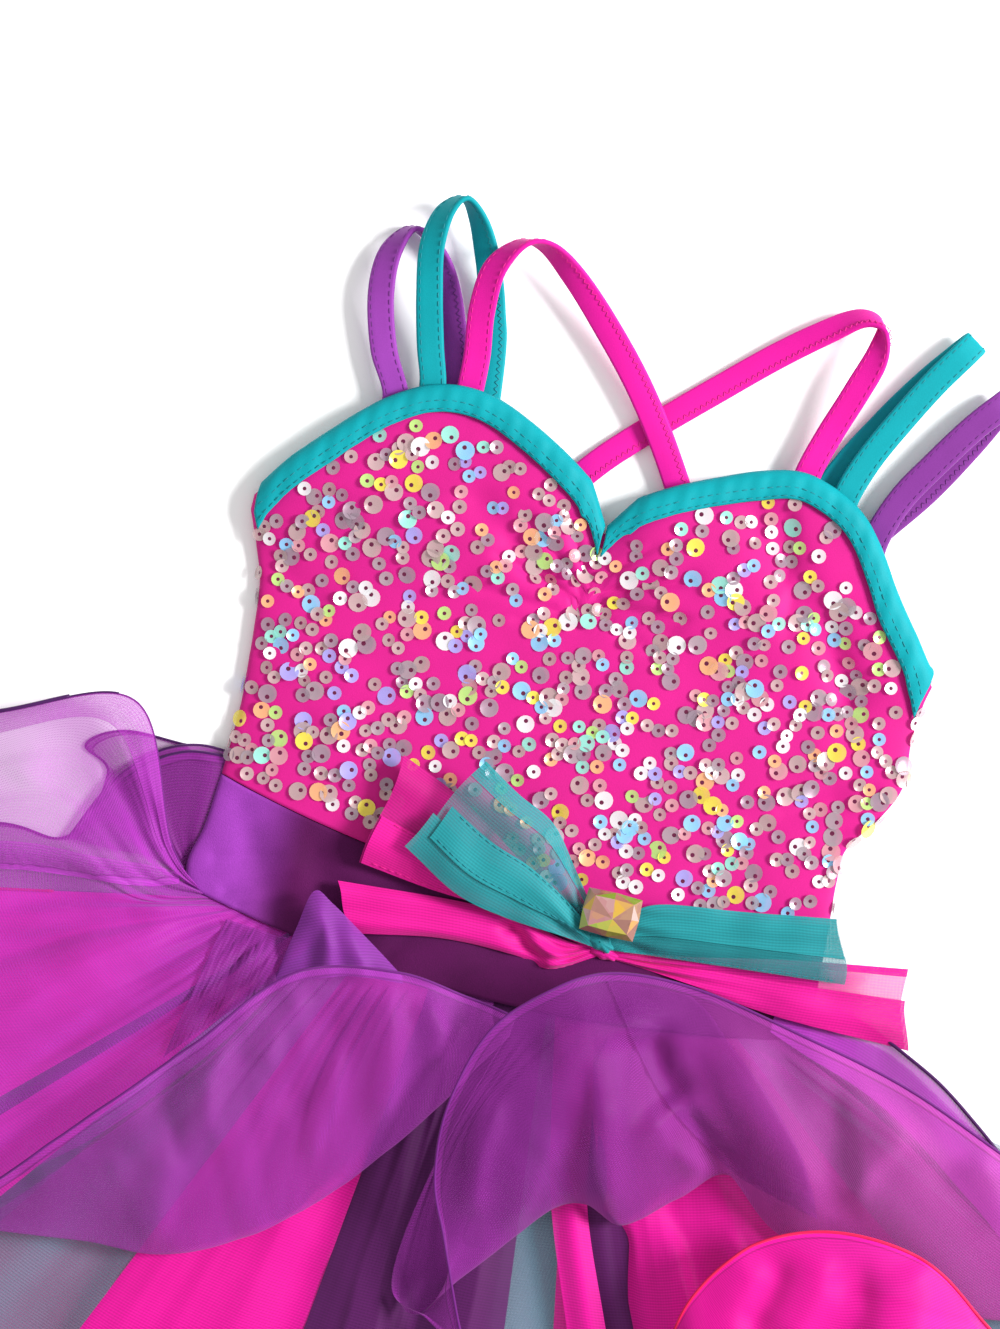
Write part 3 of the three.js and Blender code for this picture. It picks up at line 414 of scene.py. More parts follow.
def makeSheerGroup():
    # sheer cloth: denser where it leans over, along its hem and on every few threads
    tree = bpy.data.node_groups.new("sheerWeave", "ShaderNodeTree")
    for name, kind in (("Colour", "Color"), ("Cover", "Float"), ("Hem Width", "Float"), ("Threads", "Float")):
        tree.interface.new_socket(name, in_out="INPUT", socket_type="NodeSocket" + kind)
    tree.interface.new_socket("Colour", in_out="OUTPUT", socket_type="NodeSocketColor")
    tree.interface.new_socket("Alpha", in_out="OUTPUT", socket_type="NodeSocketFloat")
    given = node(tree, "NodeGroupInput")
    result = node(tree, "NodeGroupOutput")
    lean = node(tree, "ShaderNodeAttribute", attribute_name="lean")
    edge = node(tree, "ShaderNodeAttribute", attribute_name="edge")
    uv = node(tree, "ShaderNodeUVMap", uv_map="cloth")
    parts = node(tree, "ShaderNodeSeparateXYZ")
    link(tree, uv.outputs[0], parts.inputs[0])
    bend = node(tree, "ShaderNodeTexNoise")
    bend.inputs["Scale"].default_value = sheerLook["bend"]
    link(tree, uv.outputs[0], bend.inputs["Vector"])
    drift = maths(tree, "MULTIPLY", bend.outputs["Fac"], sheerLook["drift"])
    acrossAt = maths(tree, "MULTIPLY_ADD", parts.outputs[0], sheerLook["threadsAcross"], drift)
    alongAt = maths(tree, "MULTIPLY_ADD", parts.outputs[1], sheerLook["threadsAlong"], drift)
    across = maths(tree, "SINE", acrossAt)
    along = maths(tree, "SINE", alongAt)
    threads = maths(tree, "MULTIPLY", maths(tree, "ADD", across, along), given.outputs["Threads"])
    upright = maths(tree, "SUBTRACT", 1.0, lean.outputs["Fac"])
    upright = maths(tree, "MAXIMUM", upright, sheerLook["steepest"])
    clear = maths(tree, "SUBTRACT", 1.0, given.outputs["Cover"])
    clear = maths(tree, "POWER", clear, maths(tree, "DIVIDE", 1.0, upright))
    inHem = maths(tree, "LESS_THAN", edge.outputs["Fac"], given.outputs["Hem Width"])
    inner = maths(tree, "ABSOLUTE", maths(tree, "SUBTRACT", edge.outputs["Fac"], given.outputs["Hem Width"]))
    hasHem = maths(tree, "GREATER_THAN", given.outputs["Hem Width"], sheerLook["leastHem"])
    onLine = maths(tree, "MULTIPLY", maths(tree, "LESS_THAN", inner, sheerLook["lineHalf"]), hasHem)
    hemPlies = maths(tree, "MULTIPLY_ADD", inHem, sheerLook["hemPly"], 1.0)
    plies = maths(tree, "ADD", hemPlies, maths(tree, "MULTIPLY", onLine, sheerLook["linePly"]))
    doubled = maths(tree, "POWER", clear, plies)
    cover = maths(tree, "ADD", maths(tree, "SUBTRACT", 1.0, doubled), threads)
    clamped = node(tree, "ShaderNodeClamp")
    link(tree, cover, clamped.inputs["Value"])
    tinted = node(tree, "ShaderNodeHueSaturation")
    patch = maths(tree, "SUBTRACT", bend.outputs["Fac"], 0.5)
    shade = maths(tree, "MULTIPLY_ADD", patch, sheerLook["patch"], 1.0)
    hemShade = maths(tree, "MULTIPLY_ADD", inHem, sheerLook["hemShade"], 1.0)
    banded = maths(tree, "ADD", hemShade, maths(tree, "MULTIPLY", onLine, sheerLook["lineShade"]))
    ribbed = maths(tree, "MULTIPLY_ADD", along, sheerLook["rib"], 1.0)
    darker = maths(tree, "MULTIPLY", maths(tree, "MULTIPLY", shade, banded), ribbed)
    link(tree, darker, tinted.inputs["Value"])
    link(tree, given.outputs["Colour"], tinted.inputs["Color"])
    link(tree, tinted.outputs[0], result.inputs["Colour"])
    link(tree, clamped.outputs[0], result.inputs["Alpha"])
    return tree


def makeAcrossGroup():
    # one ink turns to another from left to right
    tree = bpy.data.node_groups.new("inkAcross", "ShaderNodeTree")
    for name, kind in (("Near", "Color"), ("Far", "Color"), ("From", "Float"), ("To", "Float")):
        tree.interface.new_socket(name, in_out="INPUT", socket_type="NodeSocket" + kind)
    tree.interface.new_socket("Colour", in_out="OUTPUT", socket_type="NodeSocketColor")
    given = node(tree, "NodeGroupInput")
    result = node(tree, "NodeGroupOutput")
    place = node(tree, "ShaderNodeTexCoord")
    parts = node(tree, "ShaderNodeSeparateXYZ")
    link(tree, place.outputs["Object"], parts.inputs[0])
    turn = node(tree, "ShaderNodeMapRange", interpolation_type="SMOOTHSTEP")
    link(tree, given.outputs["From"], turn.inputs["From Min"])
    link(tree, given.outputs["To"], turn.inputs["From Max"])
    link(tree, parts.outputs[0], turn.inputs["Value"])
    shaded = node(tree, "ShaderNodeMixRGB")
    link(tree, given.outputs["Near"], shaded.inputs["Color1"])
    link(tree, given.outputs["Far"], shaded.inputs["Color2"])
    link(tree, turn.outputs["Result"], shaded.inputs["Fac"])
    link(tree, shaded.outputs[0], result.inputs["Colour"])
    return tree


knitGroup = makeKnitGroup()
sheerGroup = makeSheerGroup()
acrossGroup = makeAcrossGroup()


def surfaceOf(material):
    return material.node_tree.nodes["Principled BSDF"]


def newMaterial(name):
    material = bpy.data.materials.new(name)
    material.use_nodes = True
    return material, material.node_tree, surfaceOf(material)


def setInputs(shader, values):
    for name, value in values.items():
        shader.inputs[name].default_value = value


def stretchCloth(name, ink, roughness, sheen, unevenness=0.25, bump=0.25):
    material, tree, surface = newMaterial(name)
    knit = node(tree, "ShaderNodeGroup", node_tree=knitGroup)
    setInputs(knit, {"Colour": (*ink, 1.0), "Unevenness": unevenness})
    link(tree, knit.outputs["Colour"], surface.inputs["Base Color"])
    relief = node(tree, "ShaderNodeBump")
    setInputs(relief, {"Strength": bump, "Distance": knitLook["relief"]})
    link(tree, knit.outputs["Height"], relief.inputs["Height"])
    link(tree, relief.outputs["Normal"], surface.inputs["Normal"])
    setInputs(surface, {"Roughness": roughness, "Specular IOR Level": knitLook["shine"],
                        "Sheen Weight": sheen, "Sheen Roughness": knitLook["sheenSpread"]})
    return material


def sheerCloth(name, ink, cover, hemWidth):
    material, tree, surface = newMaterial(name)
    weave = node(tree, "ShaderNodeGroup", node_tree=sheerGroup)
    setInputs(weave, {"Colour": (*ink, 1.0), "Cover": cover, "Hem Width": hemWidth,
                      "Threads": sheerLook["threads"]})
    link(tree, weave.outputs["Colour"], surface.inputs["Base Color"])
    link(tree, weave.outputs["Alpha"], surface.inputs["Alpha"])
    setInputs(surface, {"Roughness": sheerLook["roughness"], "Specular IOR Level": sheerLook["shine"],
                        "Sheen Weight": sheerLook["sheen"]})
    return material


def shadeAcross(material, near, far, turn):
    # gives a cloth two inks: near on the left of the turn and far on the right of it
    tree = material.node_tree
    shade = node(tree, "ShaderNodeGroup", node_tree=acrossGroup)
    setInputs(shade, {"Near": (*near, 1.0), "Far": (*far, 1.0), "From": turn["from"], "To": turn["to"]})
    weave = surfaceOf(material).inputs["Base Color"].links[0].from_node
    link(tree, shade.outputs["Colour"], weave.inputs["Colour"])
    return material


# painted shade: the basque's velvet turns dark toward the right, where the bow and the nets shade it; painted
# light: the right puff's net turns lighter and pinker toward the right, where it is lit through
paintedShadeTurn = {"from": -0.099, "to": -0.074}
paintedLightTurn = {"from": 0.03, "to": 0.17}
cloths = {
    "sequinCloth": stretchCloth("sequinCloth", inks["sequinCloth"], 0.6, 0.1),
    "teal": stretchCloth("tealStretch", inks["teal"], 0.6, 0.0),
    "purple": stretchCloth("purpleStretch", inks["purple"], 0.55, 0.25),
    # the purple stretch with painted shade, for the right purple strap
    "purpleShade": stretchCloth("purpleStretchShade", inks["purpleShade"], 0.55, 0.25),
    # the velvet, with painted shade toward the right
    "velvet": shadeAcross(stretchCloth("purpleNap", inks["velvet"], 0.75, 0.08, 0.6, 0.7),
                          inks["velvet"], inks["velvetPaintedShade"], paintedShadeTurn),
    "strapPink": stretchCloth("pinkStretch", inks["strapPink"], 0.55, 0.1),
    "darkHem": stretchCloth("hemCord", inks["darkHem"], 0.5, 0.1),
    "redHem": stretchCloth("redHemCord", inks["redHem"], 0.5, 0.1),
    "netPurple": sheerCloth("purpleOrganza", inks["netPurple"], 0.50, 0.0028),
    # the right puff's net, with painted light toward the right
    "netPuff": shadeAcross(sheerCloth("purpleOrganzaRight", inks["netPurple"], 0.50, 0.0028),
                           inks["netPurple"], inks["netLit"], paintedLightTurn),
    "netPink": sheerCloth("pinkOrganza", inks["netPink"], 0.74, 0.002),
    "netTeal": sheerCloth("tealOrganza", inks["netTeal"], 0.5, 0.002),
    "netDeep": sheerCloth("deepPurpleOrganza", inks["netDeep"], 0.92, 0.002),
    "netBehind": sheerCloth("purpleOrganzaBehind", inks["netPurple"], 0.62, 0.003),
    "netSide": sheerCloth("purpleOrganzaSide", inks["netSide"], 0.48, 0.0028),
    "netLeaf": sheerCloth("purpleOrganzaLeft", inks["netLeaf"], 0.41, 0.0028),
    "netFlap": sheerCloth("purpleOrganzaDouble", inks["netFlap"], 0.8, 0.0),
    "purpleHem": stretchCloth("purpleHemCord", inks["purpleHem"], 0.6, 0.1),
    "ribbonTealSoft": sheerCloth("tealRibbonDouble", inks["ribbonTeal"], 0.74, 0.0),
    "ribbonTeal": sheerCloth("tealRibbon", inks["ribbonTeal"], 0.90, 0.0),
    "ribbonPink": sheerCloth("pinkRibbon", inks["ribbonPink"], 0.93, 0.0),
    "ribbonTealThin": sheerCloth("tealRibbonSingle", inks["ribbonTeal"], 0.5, 0.0),
    "ribbonPaintedShade": sheerCloth("pinkRibbonUnder", inks["ribbonPaintedShade"], 0.93, 0.0),
    "netPale": sheerCloth("palePinkOrganza", inks["netPale"], 0.8, 0.002),
    "gatheredNet": sheerCloth("purpleOrganzaGathered", inks["netPurple"], 0.56, 0.0),
    "netPly": sheerCloth("purpleOrganzaPly", inks["netPurple"], 0.28, 0.0),
    "outerPly": sheerCloth("purpleOrganzaOuter", inks["netSide"], 0.88, 0.0),
    "ribbonPinkThin": sheerCloth("pinkRibbonSingle", inks["ribbonPink"], 0.72, 0.0),
}


def threadMaterial(name, ink):
    material, _, surface = newMaterial(name)
    setInputs(surface, {"Base Color": (*ink, 1.0), "Roughness": 0.7})
    return material


threads = {
    "teal": threadMaterial("tealThread", (0.001, 0.20, 0.24)),
    "purple": threadMaterial("purpleThread", (0.14, 0.015, 0.19)),
    "pink": threadMaterial("pinkThread", (0.62, 0.002, 0.22)),
}


def fillRamp(ramp, stops):
    ramp.elements[0].position = stops[0][0]
    ramp.elements[0].color = (*stops[0][1], 1.0)
    ramp.elements[1].position = stops[1][0]
    ramp.elements[1].color = (*stops[1][1], 1.0)
    for position, colour in stops[2:]:
        ramp.elements.new(position).color = (*colour, 1.0)


# the tints of the rainbow film, with white and bright ones as painted glints, and the share of the sequins at
# which each one starts
sequinFilmAndGlints = [
    (0.00, (0.46, 0.33, 0.33)), (0.14, (0.34, 0.25, 0.31)), (0.27, (0.56, 0.40, 0.40)),
    (0.39, (0.40, 0.32, 0.36)), (0.49, (0.66, 0.32, 0.36)), (0.57, (0.84, 0.84, 0.86)),
    (0.66, (0.40, 0.38, 0.86)), (0.73, (0.26, 0.62, 0.92)), (0.79, (0.86, 0.72, 0.08)),
    (0.84, (0.30, 0.78, 0.66)), (0.89, (0.50, 0.78, 0.22)), (0.94, (0.90, 0.46, 0.22)),
]
# the thread in a sequin's hole, darkened with painted shadow
sequinThreadAndShadow = (0.10, 0.012, 0.04)
sequinLook = {"Metallic": 0.3, "Roughness": 0.25, "Alpha": 0.77}


def makeSequinMaterial():
    # a clear disc with a rainbow film and painted glints: each one keeps one tint of it
    material, tree, surface = newMaterial("sequin")
    tint = node(tree, "ShaderNodeAttribute", attribute_name="tint")
    film = node(tree, "ShaderNodeValToRGB")
    film.color_ramp.interpolation = "CONSTANT"
    fillRamp(film.color_ramp, sequinFilmAndGlints)
    link(tree, tint.outputs["Fac"], film.inputs["Fac"])
    hole = node(tree, "ShaderNodeAttribute", attribute_name="hole")
    pierced = node(tree, "ShaderNodeMixRGB")
    pierced.inputs["Color2"].default_value = (*sequinThreadAndShadow, 1.0)
    link(tree, hole.outputs["Fac"], pierced.inputs["Fac"])
    link(tree, film.outputs["Color"], pierced.inputs["Color1"])
    link(tree, pierced.outputs[0], surface.inputs["Base Color"])
    setInputs(surface, sequinLook)
    return material


sequinMaterial = makeSequinMaterial()
print("stage: materials")

stretchWall = 1.6
seamGap = 0.3
tapeWall = 0.9
bodiceSize = {
    "waistDip": 15.0, "crown": 4.1, "sideZ": 2.3, "squareness": 4.0,
    "bustRise": 3.9, "bustFrom": 88, "bustOver": 36,
    "cleft": 3.4, "cleftHalf": 11, "cleftFrom": 84, "cleftOver": 40,
    "crumple": 0.35, "smoothTop": 9,
    "crowding": 0.97,  # how much closer the columns lie at the sides
}
basqueHalf = 111.0
sideRows = {
    "y": [0, 15, 30, 42, 56, 68, 84, 98, 107],
    "left": [109, 108.5, 108, 108, 109, 110, 112, 117, 121],
    "right": [109, 108.5, 107.5, 108, 117, 122, 121, 122, 124],
}
frontTopRows = {
    "share": [0, 0.07, 0.17, 0.29, 0.4, 0.5, 0.59, 0.67, 0.74, 0.83, 0.92, 1],
    "left": [128, 142, 150.5, 158, 163, 164, 161.5, 156, 149, 138, 126, 112],
    "right": [128, 140.5, 148.5, 155.5, 161, 163.5, 161, 156, 147, 131, 117, 104],
}
backTopRows = {"share": [0, 0.25, 0.45, 0.65, 1], "y": [104, 110, 119, 119, 106]}
# soft troughs of the front: from, to, width and depth
creases = [
    (52, 146, 96, 96, 8, 2.4), (100, 56, 76, 42, 7, 1.6), (-44, 128, -20, 112, 7, 1.6),
    (12, 112, 32, 119, 5, 1.4), (8, 103, 30, 101, 5, 1.4), (-11, 106, -30, 118, 5, 1.4),
]
# the small gathers between the cups and the creases that the sequins follow
puckers = [
    (-3, 108, -28, 128, 2.0, 2.2), (-3, 104, -34, 112, 1.8, 1.8), (-2, 112, -16, 134, 1.6, 1.8),
    (2, 108, 30, 118, 1.8, 2.2), (2, 104, 34, 106, 1.6, 1.8), (3, 101, 26, 92, 2.0, 1.4),
    (-2, 100, -22, 92, 2.0, 1.4), (0, 127, 0, 110, 1.1, 1.2), (2, 112, 18, 128, 1.5, 1.6),
    (-4, 98, -44, 100, 2.2, 1.2), (60, 150, 71, 108, 3.2, 1.6), (67, 128, 60, 104, 2.5, -1.0),
    (84, 118, 100, 80, 4.5, 1.0), (112, 62, 84, 50, 3.5, 1.3), (106, 46, 88, 36, 3.0, 0.9),
    (-106, 60, -84, 66, 4.0, 0.7), (-104, 34, -86, 40, 4.0, 0.7), (-112, 92, -92, 82, 4.0, 0.7),
]


def troughs(x, y, rows):
    total = 0.0
    for fromX, fromY, toX, toY, width, depth in rows:
        runX, runY = toX - fromX, toY - fromY
        share = np.clip(((x - fromX) * runX + (y - fromY) * runY) / (runX * runX + runY * runY), 0, 1)
        away = np.hypot(x - fromX - share * runX, y - fromY - share * runY)
        total = total + depth * bell(away / width) * np.where(width < 4, 1 - 0.5 * share, 1.0)
    return total


def eitherSide(rows, key, at, u):
    # a value from the rows of the left half where u is negative, else from those of the right half
    return np.where(u < 0, lookup(rows[key], rows["left"], at), lookup(rows[key], rows["right"], at))


def frontTopY(u):
    return eitherSide(frontTopRows, "share", np.abs(u), u)


def sideAt(y, u):
    return eitherSide(sideRows, "y", y, u)


def backTopY(u):
    return lookup(backTopRows["share"], backTopRows["y"], np.abs(u))


def bodiceFront(u, v):
    size = bodiceSize
    top = frontTopY(u)
    y = mix(size["waistDip"] * u * u, top, v)
    x = u * sideAt(y, u)
    bust = size["bustRise"] * ease((y - size["bustFrom"]) / size["bustOver"])
    cleft = size["cleft"] * bell(x / size["cleftHalf"]) * ease((y - size["cleftFrom"]) / size["cleftOver"])
    shape = arch(u, size["squareness"])
    z = size["sideZ"] + shape * (size["crown"] + bust - cleft - troughs(x, y, creases))
    small = troughs(x, y, puckers) + size["crumple"] * crumple(x, y, 3, 34)
    return np.stack([x, y, z - shape * small * ease((1 - v) * size["smoothTop"])], axis=-1)


def acrossBody(count):
    # places from side to side
    crowding = bodiceSize["crowding"]
    return np.sin(np.linspace(-1, 1, count) * math.pi / 2 * crowding) / math.sin(math.pi / 2 * crowding)


def tableGrid(us, vs):
    return np.meshgrid(us, vs, indexing="ij")


frontUs = acrossBody(175)
frontU, frontV = tableGrid(frontUs, np.linspace(0, 1, 117))
frontGrid = bodiceFront(frontU, frontV)
frontNormals = gridNormals(frontGrid)
bodiceFrontPiece = thickSheet("bodiceFront", frontGrid, stretchWall, cloths["sequinCloth"])
keepPiece(bodiceFrontPiece, "bodice_front")

backU, backV = tableGrid(np.linspace(-1, 1, 81), np.linspace(0, 1, 41))
backY = mix(bodiceSize["waistDip"] * backU**2, backTopY(backU), backV)
backGrid = np.stack([backU * sideAt(backY, backU), backY, np.full_like(backY, stretchWall / 2)], axis=-1)
bodiceBackPiece = thickSheet("bodiceBack", backGrid, stretchWall, cloths["sequinCloth"])
keepPiece(bodiceBackPiece, "bodice_back")
print("stage: bodice")

bindingSize = {
    "width": 7.6, "wrap": 1.6, "ease": 0.45, "side": 0.985, "notch": 0.006,
    "smooth": 4,  # columns on each side over which the edge's slope is evened out
    "notchDrop": 1.15, "slopeRise": 4, "notchHalf": 0.04, "notchOver": 0.22,
     # how steep it may get from the notch on
}


def onFront(u, down):
    # points of the front panel, and its normals, a given way below its upper edge
    at = np.interp(u, frontUs, np.arange(len(frontUs)))
    i = np.clip(np.floor(at).astype(int), 0, len(frontUs) - 2)
    share = (at - i)[:, None]
    last = frontGrid.shape[1] - 1
    edge = frontGrid[i + 1, last] - frontGrid[i, last]
    slope = np.hypot(edge[:, 0], edge[:, 1]) / np.maximum(edge[:, 0], 1e-6)
    smooth = bindingSize["smooth"]
    window = 2 * smooth + 1
    slope = np.convolve(np.pad(slope, smooth, mode="edge"), np.ones(window) / window, mode="valid")
    fromNotch = ease((np.abs(u) - bindingSize["notchHalf"]) / bindingSize["notchOver"])
    slope = np.minimum(slope, bindingSize["notchDrop"] + bindingSize["slopeRise"] * fromNotch)
    height = frontGrid[i, last, 1] - frontGrid[i, 0, 1]
    row = (1 - down * slope / height) * last
    j = np.clip(np.floor(row).astype(int), 0, last - 1)
    part = (row - j)[:, None]

    def blend(grid):
        low = grid[i, j] * (1 - share) + grid[i + 1, j] * share
        high = grid[i, j + 1] * (1 - share) + grid[i + 1, j + 1] * share
        return low * (1 - part) + high * part

    normal = blend(frontNormals)
    return blend(frontGrid), normal / np.linalg.norm(normal, axis=1, keepdims=True)


def bindingLine(us, down, side, lift=0.0):
    point, normal = onFront(us, down)
    off = stretchWall / 2 + seamGap + bindingSize["ease"] + tapeWall / 2
    return point + normal * side * (off + lift)


def frontBinding(name, start, end, nodeName):
    us = np.linspace(start, end, 200)
    w = bindingSize["width"]
    path = [(w, 1, 0), (w * 0.93, 1, 0.25), (w * 0.6, 1, 0.5), (w * 0.3, 1, 0.55), (0.9, 1, 0.35),
            (0, 1, -0.1), (-1.1, 0.6, 0), (-bindingSize["wrap"], 0, 0), (-1.1, -0.6, 0), (0, -1, 0),
            (w * 0.5, -1, 0), (w, -1, 0)]
    lines = [bindingLine(us, down, side, lift) for down, side, lift in path]
    wobble = 0.12 * np.sin(us * 70) + 0.1 * np.sin(us * 131 + 1)
    grid = np.stack(lines, axis=1)
    grid[:, :6, 2] += wobble[:, None]
    piece = thickSheet(name, grid, tapeWall, cloths["teal"])
    keepPiece(piece, nodeName)
    return us


leftUs = frontBinding("bindingLeft", -bindingSize["side"], -bindingSize["notch"], "binding_front_left")
rightUs = frontBinding("bindingRight", bindingSize["notch"], bindingSize["side"], "binding_front_right")

# the back binding: its edge, and how far in from it and up from the floor its path runs
backReach, backSteps = 0.955, 120
backEdgeU = np.linspace(-backReach, backReach, backSteps)
backEdgeY = backTopY(backEdgeU)
backEdge = np.stack([backEdgeU * sideAt(backEdgeY, backEdgeU), backEdgeY, np.zeros(backSteps)], axis=-1)
backAlong = np.gradient(backEdge, axis=0)
backAlong /= np.linalg.norm(backAlong, axis=1, keepdims=True)
backInward = np.stack([backAlong[:, 1], -backAlong[:, 0], np.zeros(backSteps)], axis=-1)
backTop = stretchWall + seamGap + tapeWall / 2
backPath = [(9.5, backTop), (5, backTop + 0.1), (0.5, backTop), (-0.85, backTop - 0.5),
            (-0.85, tapeWall / 2 + 0.1)]
backBindingGrid = np.stack([backEdge + backInward * into + np.array([0, 0, up]) for into, up in backPath],
                           axis=1)
backBinding = thickSheet("bindingBack", backBindingGrid, tapeWall, cloths["teal"])
keepPiece(backBinding, "binding_back")
print("stage: bindings")

strapSize = {
    "width": 9.4, "wall": 1.8, "steps": 260, "unevenness": 0.02,
    "slack": 1.15,  # how much lower than the binding's inner side it lies
    "tuck": 7.0, "leave": 3, "onBack": 14,  # how far it goes under the edge, out of it, and along the back
}
# points of each strap's middle line: x, y, z, the way of its width in degrees and how far that tips up
strapRows = {
    "strap_purple_left": {
        "ink": "purple", "slot": "purple_stretch", "thread": "purple", "start": -0.68, "end": (-58, 111),
        "rows": [(-90, 172, 6, 18, 0), (-95.5, 190, 7.5, 8, 8), (-96, 205, 7, -5, 30),
                 (-91, 215, 5.6, -10, 66), (-83.5, 213, 4.9, 0, 60), (-76, 203, 3.6, 10, 26),
                 (-69.5, 188, 2.2, 18, 8), (-64.5, 171, 1.9, 12, 0)],
    },
    "strap_teal_left": {
        "ink": "teal", "slot": "teal_stretch", "thread": "teal", "start": -0.583, "end": (-45.5, 111),
        "rows": [(-74.5, 177, 7.2, 14, 0), (-79, 194, 11, 10, 6), (-82, 210, 13.8, 0, 18),
                 (-80.5, 223, 14, -10, 45), (-75, 229, 12.6, -5, 68), (-68.5, 223, 9.6, 8, 48),
                 (-62, 210, 6.8, 16, 22), (-56.5, 194, 4, 18, 6), (-52.5, 177, 1.9, 12, 0)],
    },
    "strap_pink_left": {
        "ink": "strapPink", "slot": "pink_stretch", "thread": "pink", "start": -0.475, "end": (41, 110),
        "rows": [(-58, 178, 7.8, 4, 0), (-60, 193, 12, -2, 6), (-59, 208, 15, -12, 26),
                 (-52, 218.5, 15, -5, 55), (-43, 219.5, 13, 20, 52), (-31, 211.5, 10.5, 36, 30),
                 (-17, 198.5, 8, 42, 12), (-2, 182.5, 6.4, 38, 2), (11, 165.5, 5, 32, 0),
                 (23, 147, 4, 30, 0), (33, 129, 3.6, 26, 0)],
    },
    "strap_pink_right": {
        "ink": "strapPink", "slot": "pink_stretch", "thread": "pink", "start": 0.515, "end": (-32, 108),
        "rows": [(67.5, 180, 7.8, -14, 0), (73, 197, 10.5, -16, 6), (77, 211, 11.5, -30, 24),
                 (76.5, 221, 10.5, -60, 50), (69, 222.5, 8.6, -62, 44), (58, 215, 6, -50, 20),
                 (43.5, 203, 3.4, -46, 6), (27, 187.5, 2, -46, 0), (9.5, 170.5, 1.9, -44, 0),
                 (-8, 152, 1.9, -40, 0), (-22, 132, 1.9, -30, 0)],
    },
    "strap_teal_right": {
        "ink": "teal", "slot": "teal_stretch", "thread": "teal", "start": 0.635, "end": (54, 111),
        "rows": [(83, 175, 6.8, -25, 0), (90.5, 191, 7.4, -27, 0), (99, 207, 7.4, -30, 0),
                 (106.5, 219, 7.2, -32, 0), (109.5, 224, 5.2, -33, 0), (105.5, 219, 3, -32, 0),
                 (97, 207.5, 2.2, -31, 0), (86, 190, 1.9, -27, 0), (73, 165, 1.9, -24, 0)],
    },
    "strap_purple_right": {
        "ink": "purpleShade", "slot": "purple_stretch", "thread": "purple", "start": 0.745, "end": (66, 110),
        "rows": [(97.5, 165, 6.2, -28, 0), (106.5, 180.5, 7, -31, 0), (115.5, 194.5, 7.2, -34, 0),
                 (122.5, 203.5, 7, -38, 0), (125.5, 207, 5, -38, 0), (122.5, 201, 3, -36, 0),
                 (116, 188, 2.2, -34, 0), (105, 169, 1.9, -30, 0), (90, 148, 1.9, -28, 0)],
    },
}


def camel(nodeName):
    # a node's name without its bars, as the piece's name
    first, *others = nodeName.split("_")
    return first + "".join(word.title() for word in others)


def strapFrames(strap, steps):
    # the middle, the width's direction and the outer face's direction at even steps along a strap
    under = stretchWall / 2 + seamGap + tapeWall + seamGap + strapSize["wall"] / 2
    under = under + bindingSize["ease"] + strapSize["slack"]
    u = np.array([strap["start"]])
    root, rootNormal = onFront(u, strapSize["tuck"])
    mouth, mouthNormal = onFront(u, 0.0)
    tucked = root[0] - rootNormal[0] * under
    inward = tucked - mouth[0]
    inward /= np.linalg.norm(inward)
    leaving = mouth[0] - mouthNormal[0] * under - inward * strapSize["leave"]
    rows = np.array(strap["rows"], float)
    sewnZ = stretchWall + seamGap + tapeWall + seamGap + strapSize["wall"] / 2
    end = np.array([*strap["end"], sewnZ])
    back = rows[-1, :3] - end
    back[2] = 0
    onBack = end + back / np.linalg.norm(back) * strapSize["onBack"]
    widthWay = math.degrees(math.atan2(inward[1], inward[0])) + 90
    points = np.vstack([tucked, leaving, rows[:, :3], onBack, end])
    ways = np.concatenate([[widthWay, mix(widthWay, rows[0, 3], 0.3)], rows[:, 3], [rows[-1, 3]] * 2])
    tips = np.concatenate([[0, 0], rows[:, 4], [0, 0]])
    at = np.linspace(0, len(points) - 1, steps)
    middle = through(points, at)
    tangent = np.gradient(middle, axis=0)
    tangent /= np.linalg.norm(tangent, axis=1, keepdims=True)
    way = np.radians(through(ways, at))
    tip = np.radians(through(tips, at))
    width = np.stack([np.cos(way) * np.cos(tip), np.sin(way) * np.cos(tip), np.sin(tip)], axis=-1)
    face = np.cross(width, tangent)
    face /= np.linalg.norm(face, axis=1, keepdims=True)
    return middle, width, face


def makeStrap(name, strap, seed):
    steps = strapSize["steps"]
    middle, width, face = strapFrames(strap, steps)
    w, h = strapSize["width"] / 2, strapSize["wall"] / 2
    # a flat tube of cloth: rounded edges, and a soft ridge where its seam allowance lies
    outline = [(-w, 0), (-w + 0.25, h * 0.75), (-w + 0.9, h), (-w * 0.35, h * 0.85), (0, h * 0.95),
               (w * 0.35, h * 0.85), (w - 0.9, h), (w - 0.25, h * 0.75), (w, 0), (w - 0.25, -h * 0.75),
               (w - 0.9, -h), (0, -h * 0.85), (-w + 0.9, -h), (-w + 0.25, -h * 0.75)]
    along = np.arange(steps) * 1.1
    narrow = 1 + strapSize["unevenness"] * wander(along / 40, seed, 1.0)
    count = len(outline)
    rings = np.stack([middle + width * (a * narrow)[:, None] + face * b for a, b in outline], axis=1)
    piece = keepMesh(camel(name), rings.reshape(-1, 3), tubeFaces(steps, count), cloths[strap["ink"]])
    bm = bmesh.new()
    bm.from_mesh(piece.data)
    bmesh.ops.recalc_face_normals(bm, faces=bm.faces)
    bm.to_mesh(piece.data)
    bm.free()
    keepPiece(piece, name)
    return middle, width, face


strapLines = {name: makeStrap(name, strap, k) for k, (name, strap) in enumerate(strapRows.items())}
print("stage: straps")

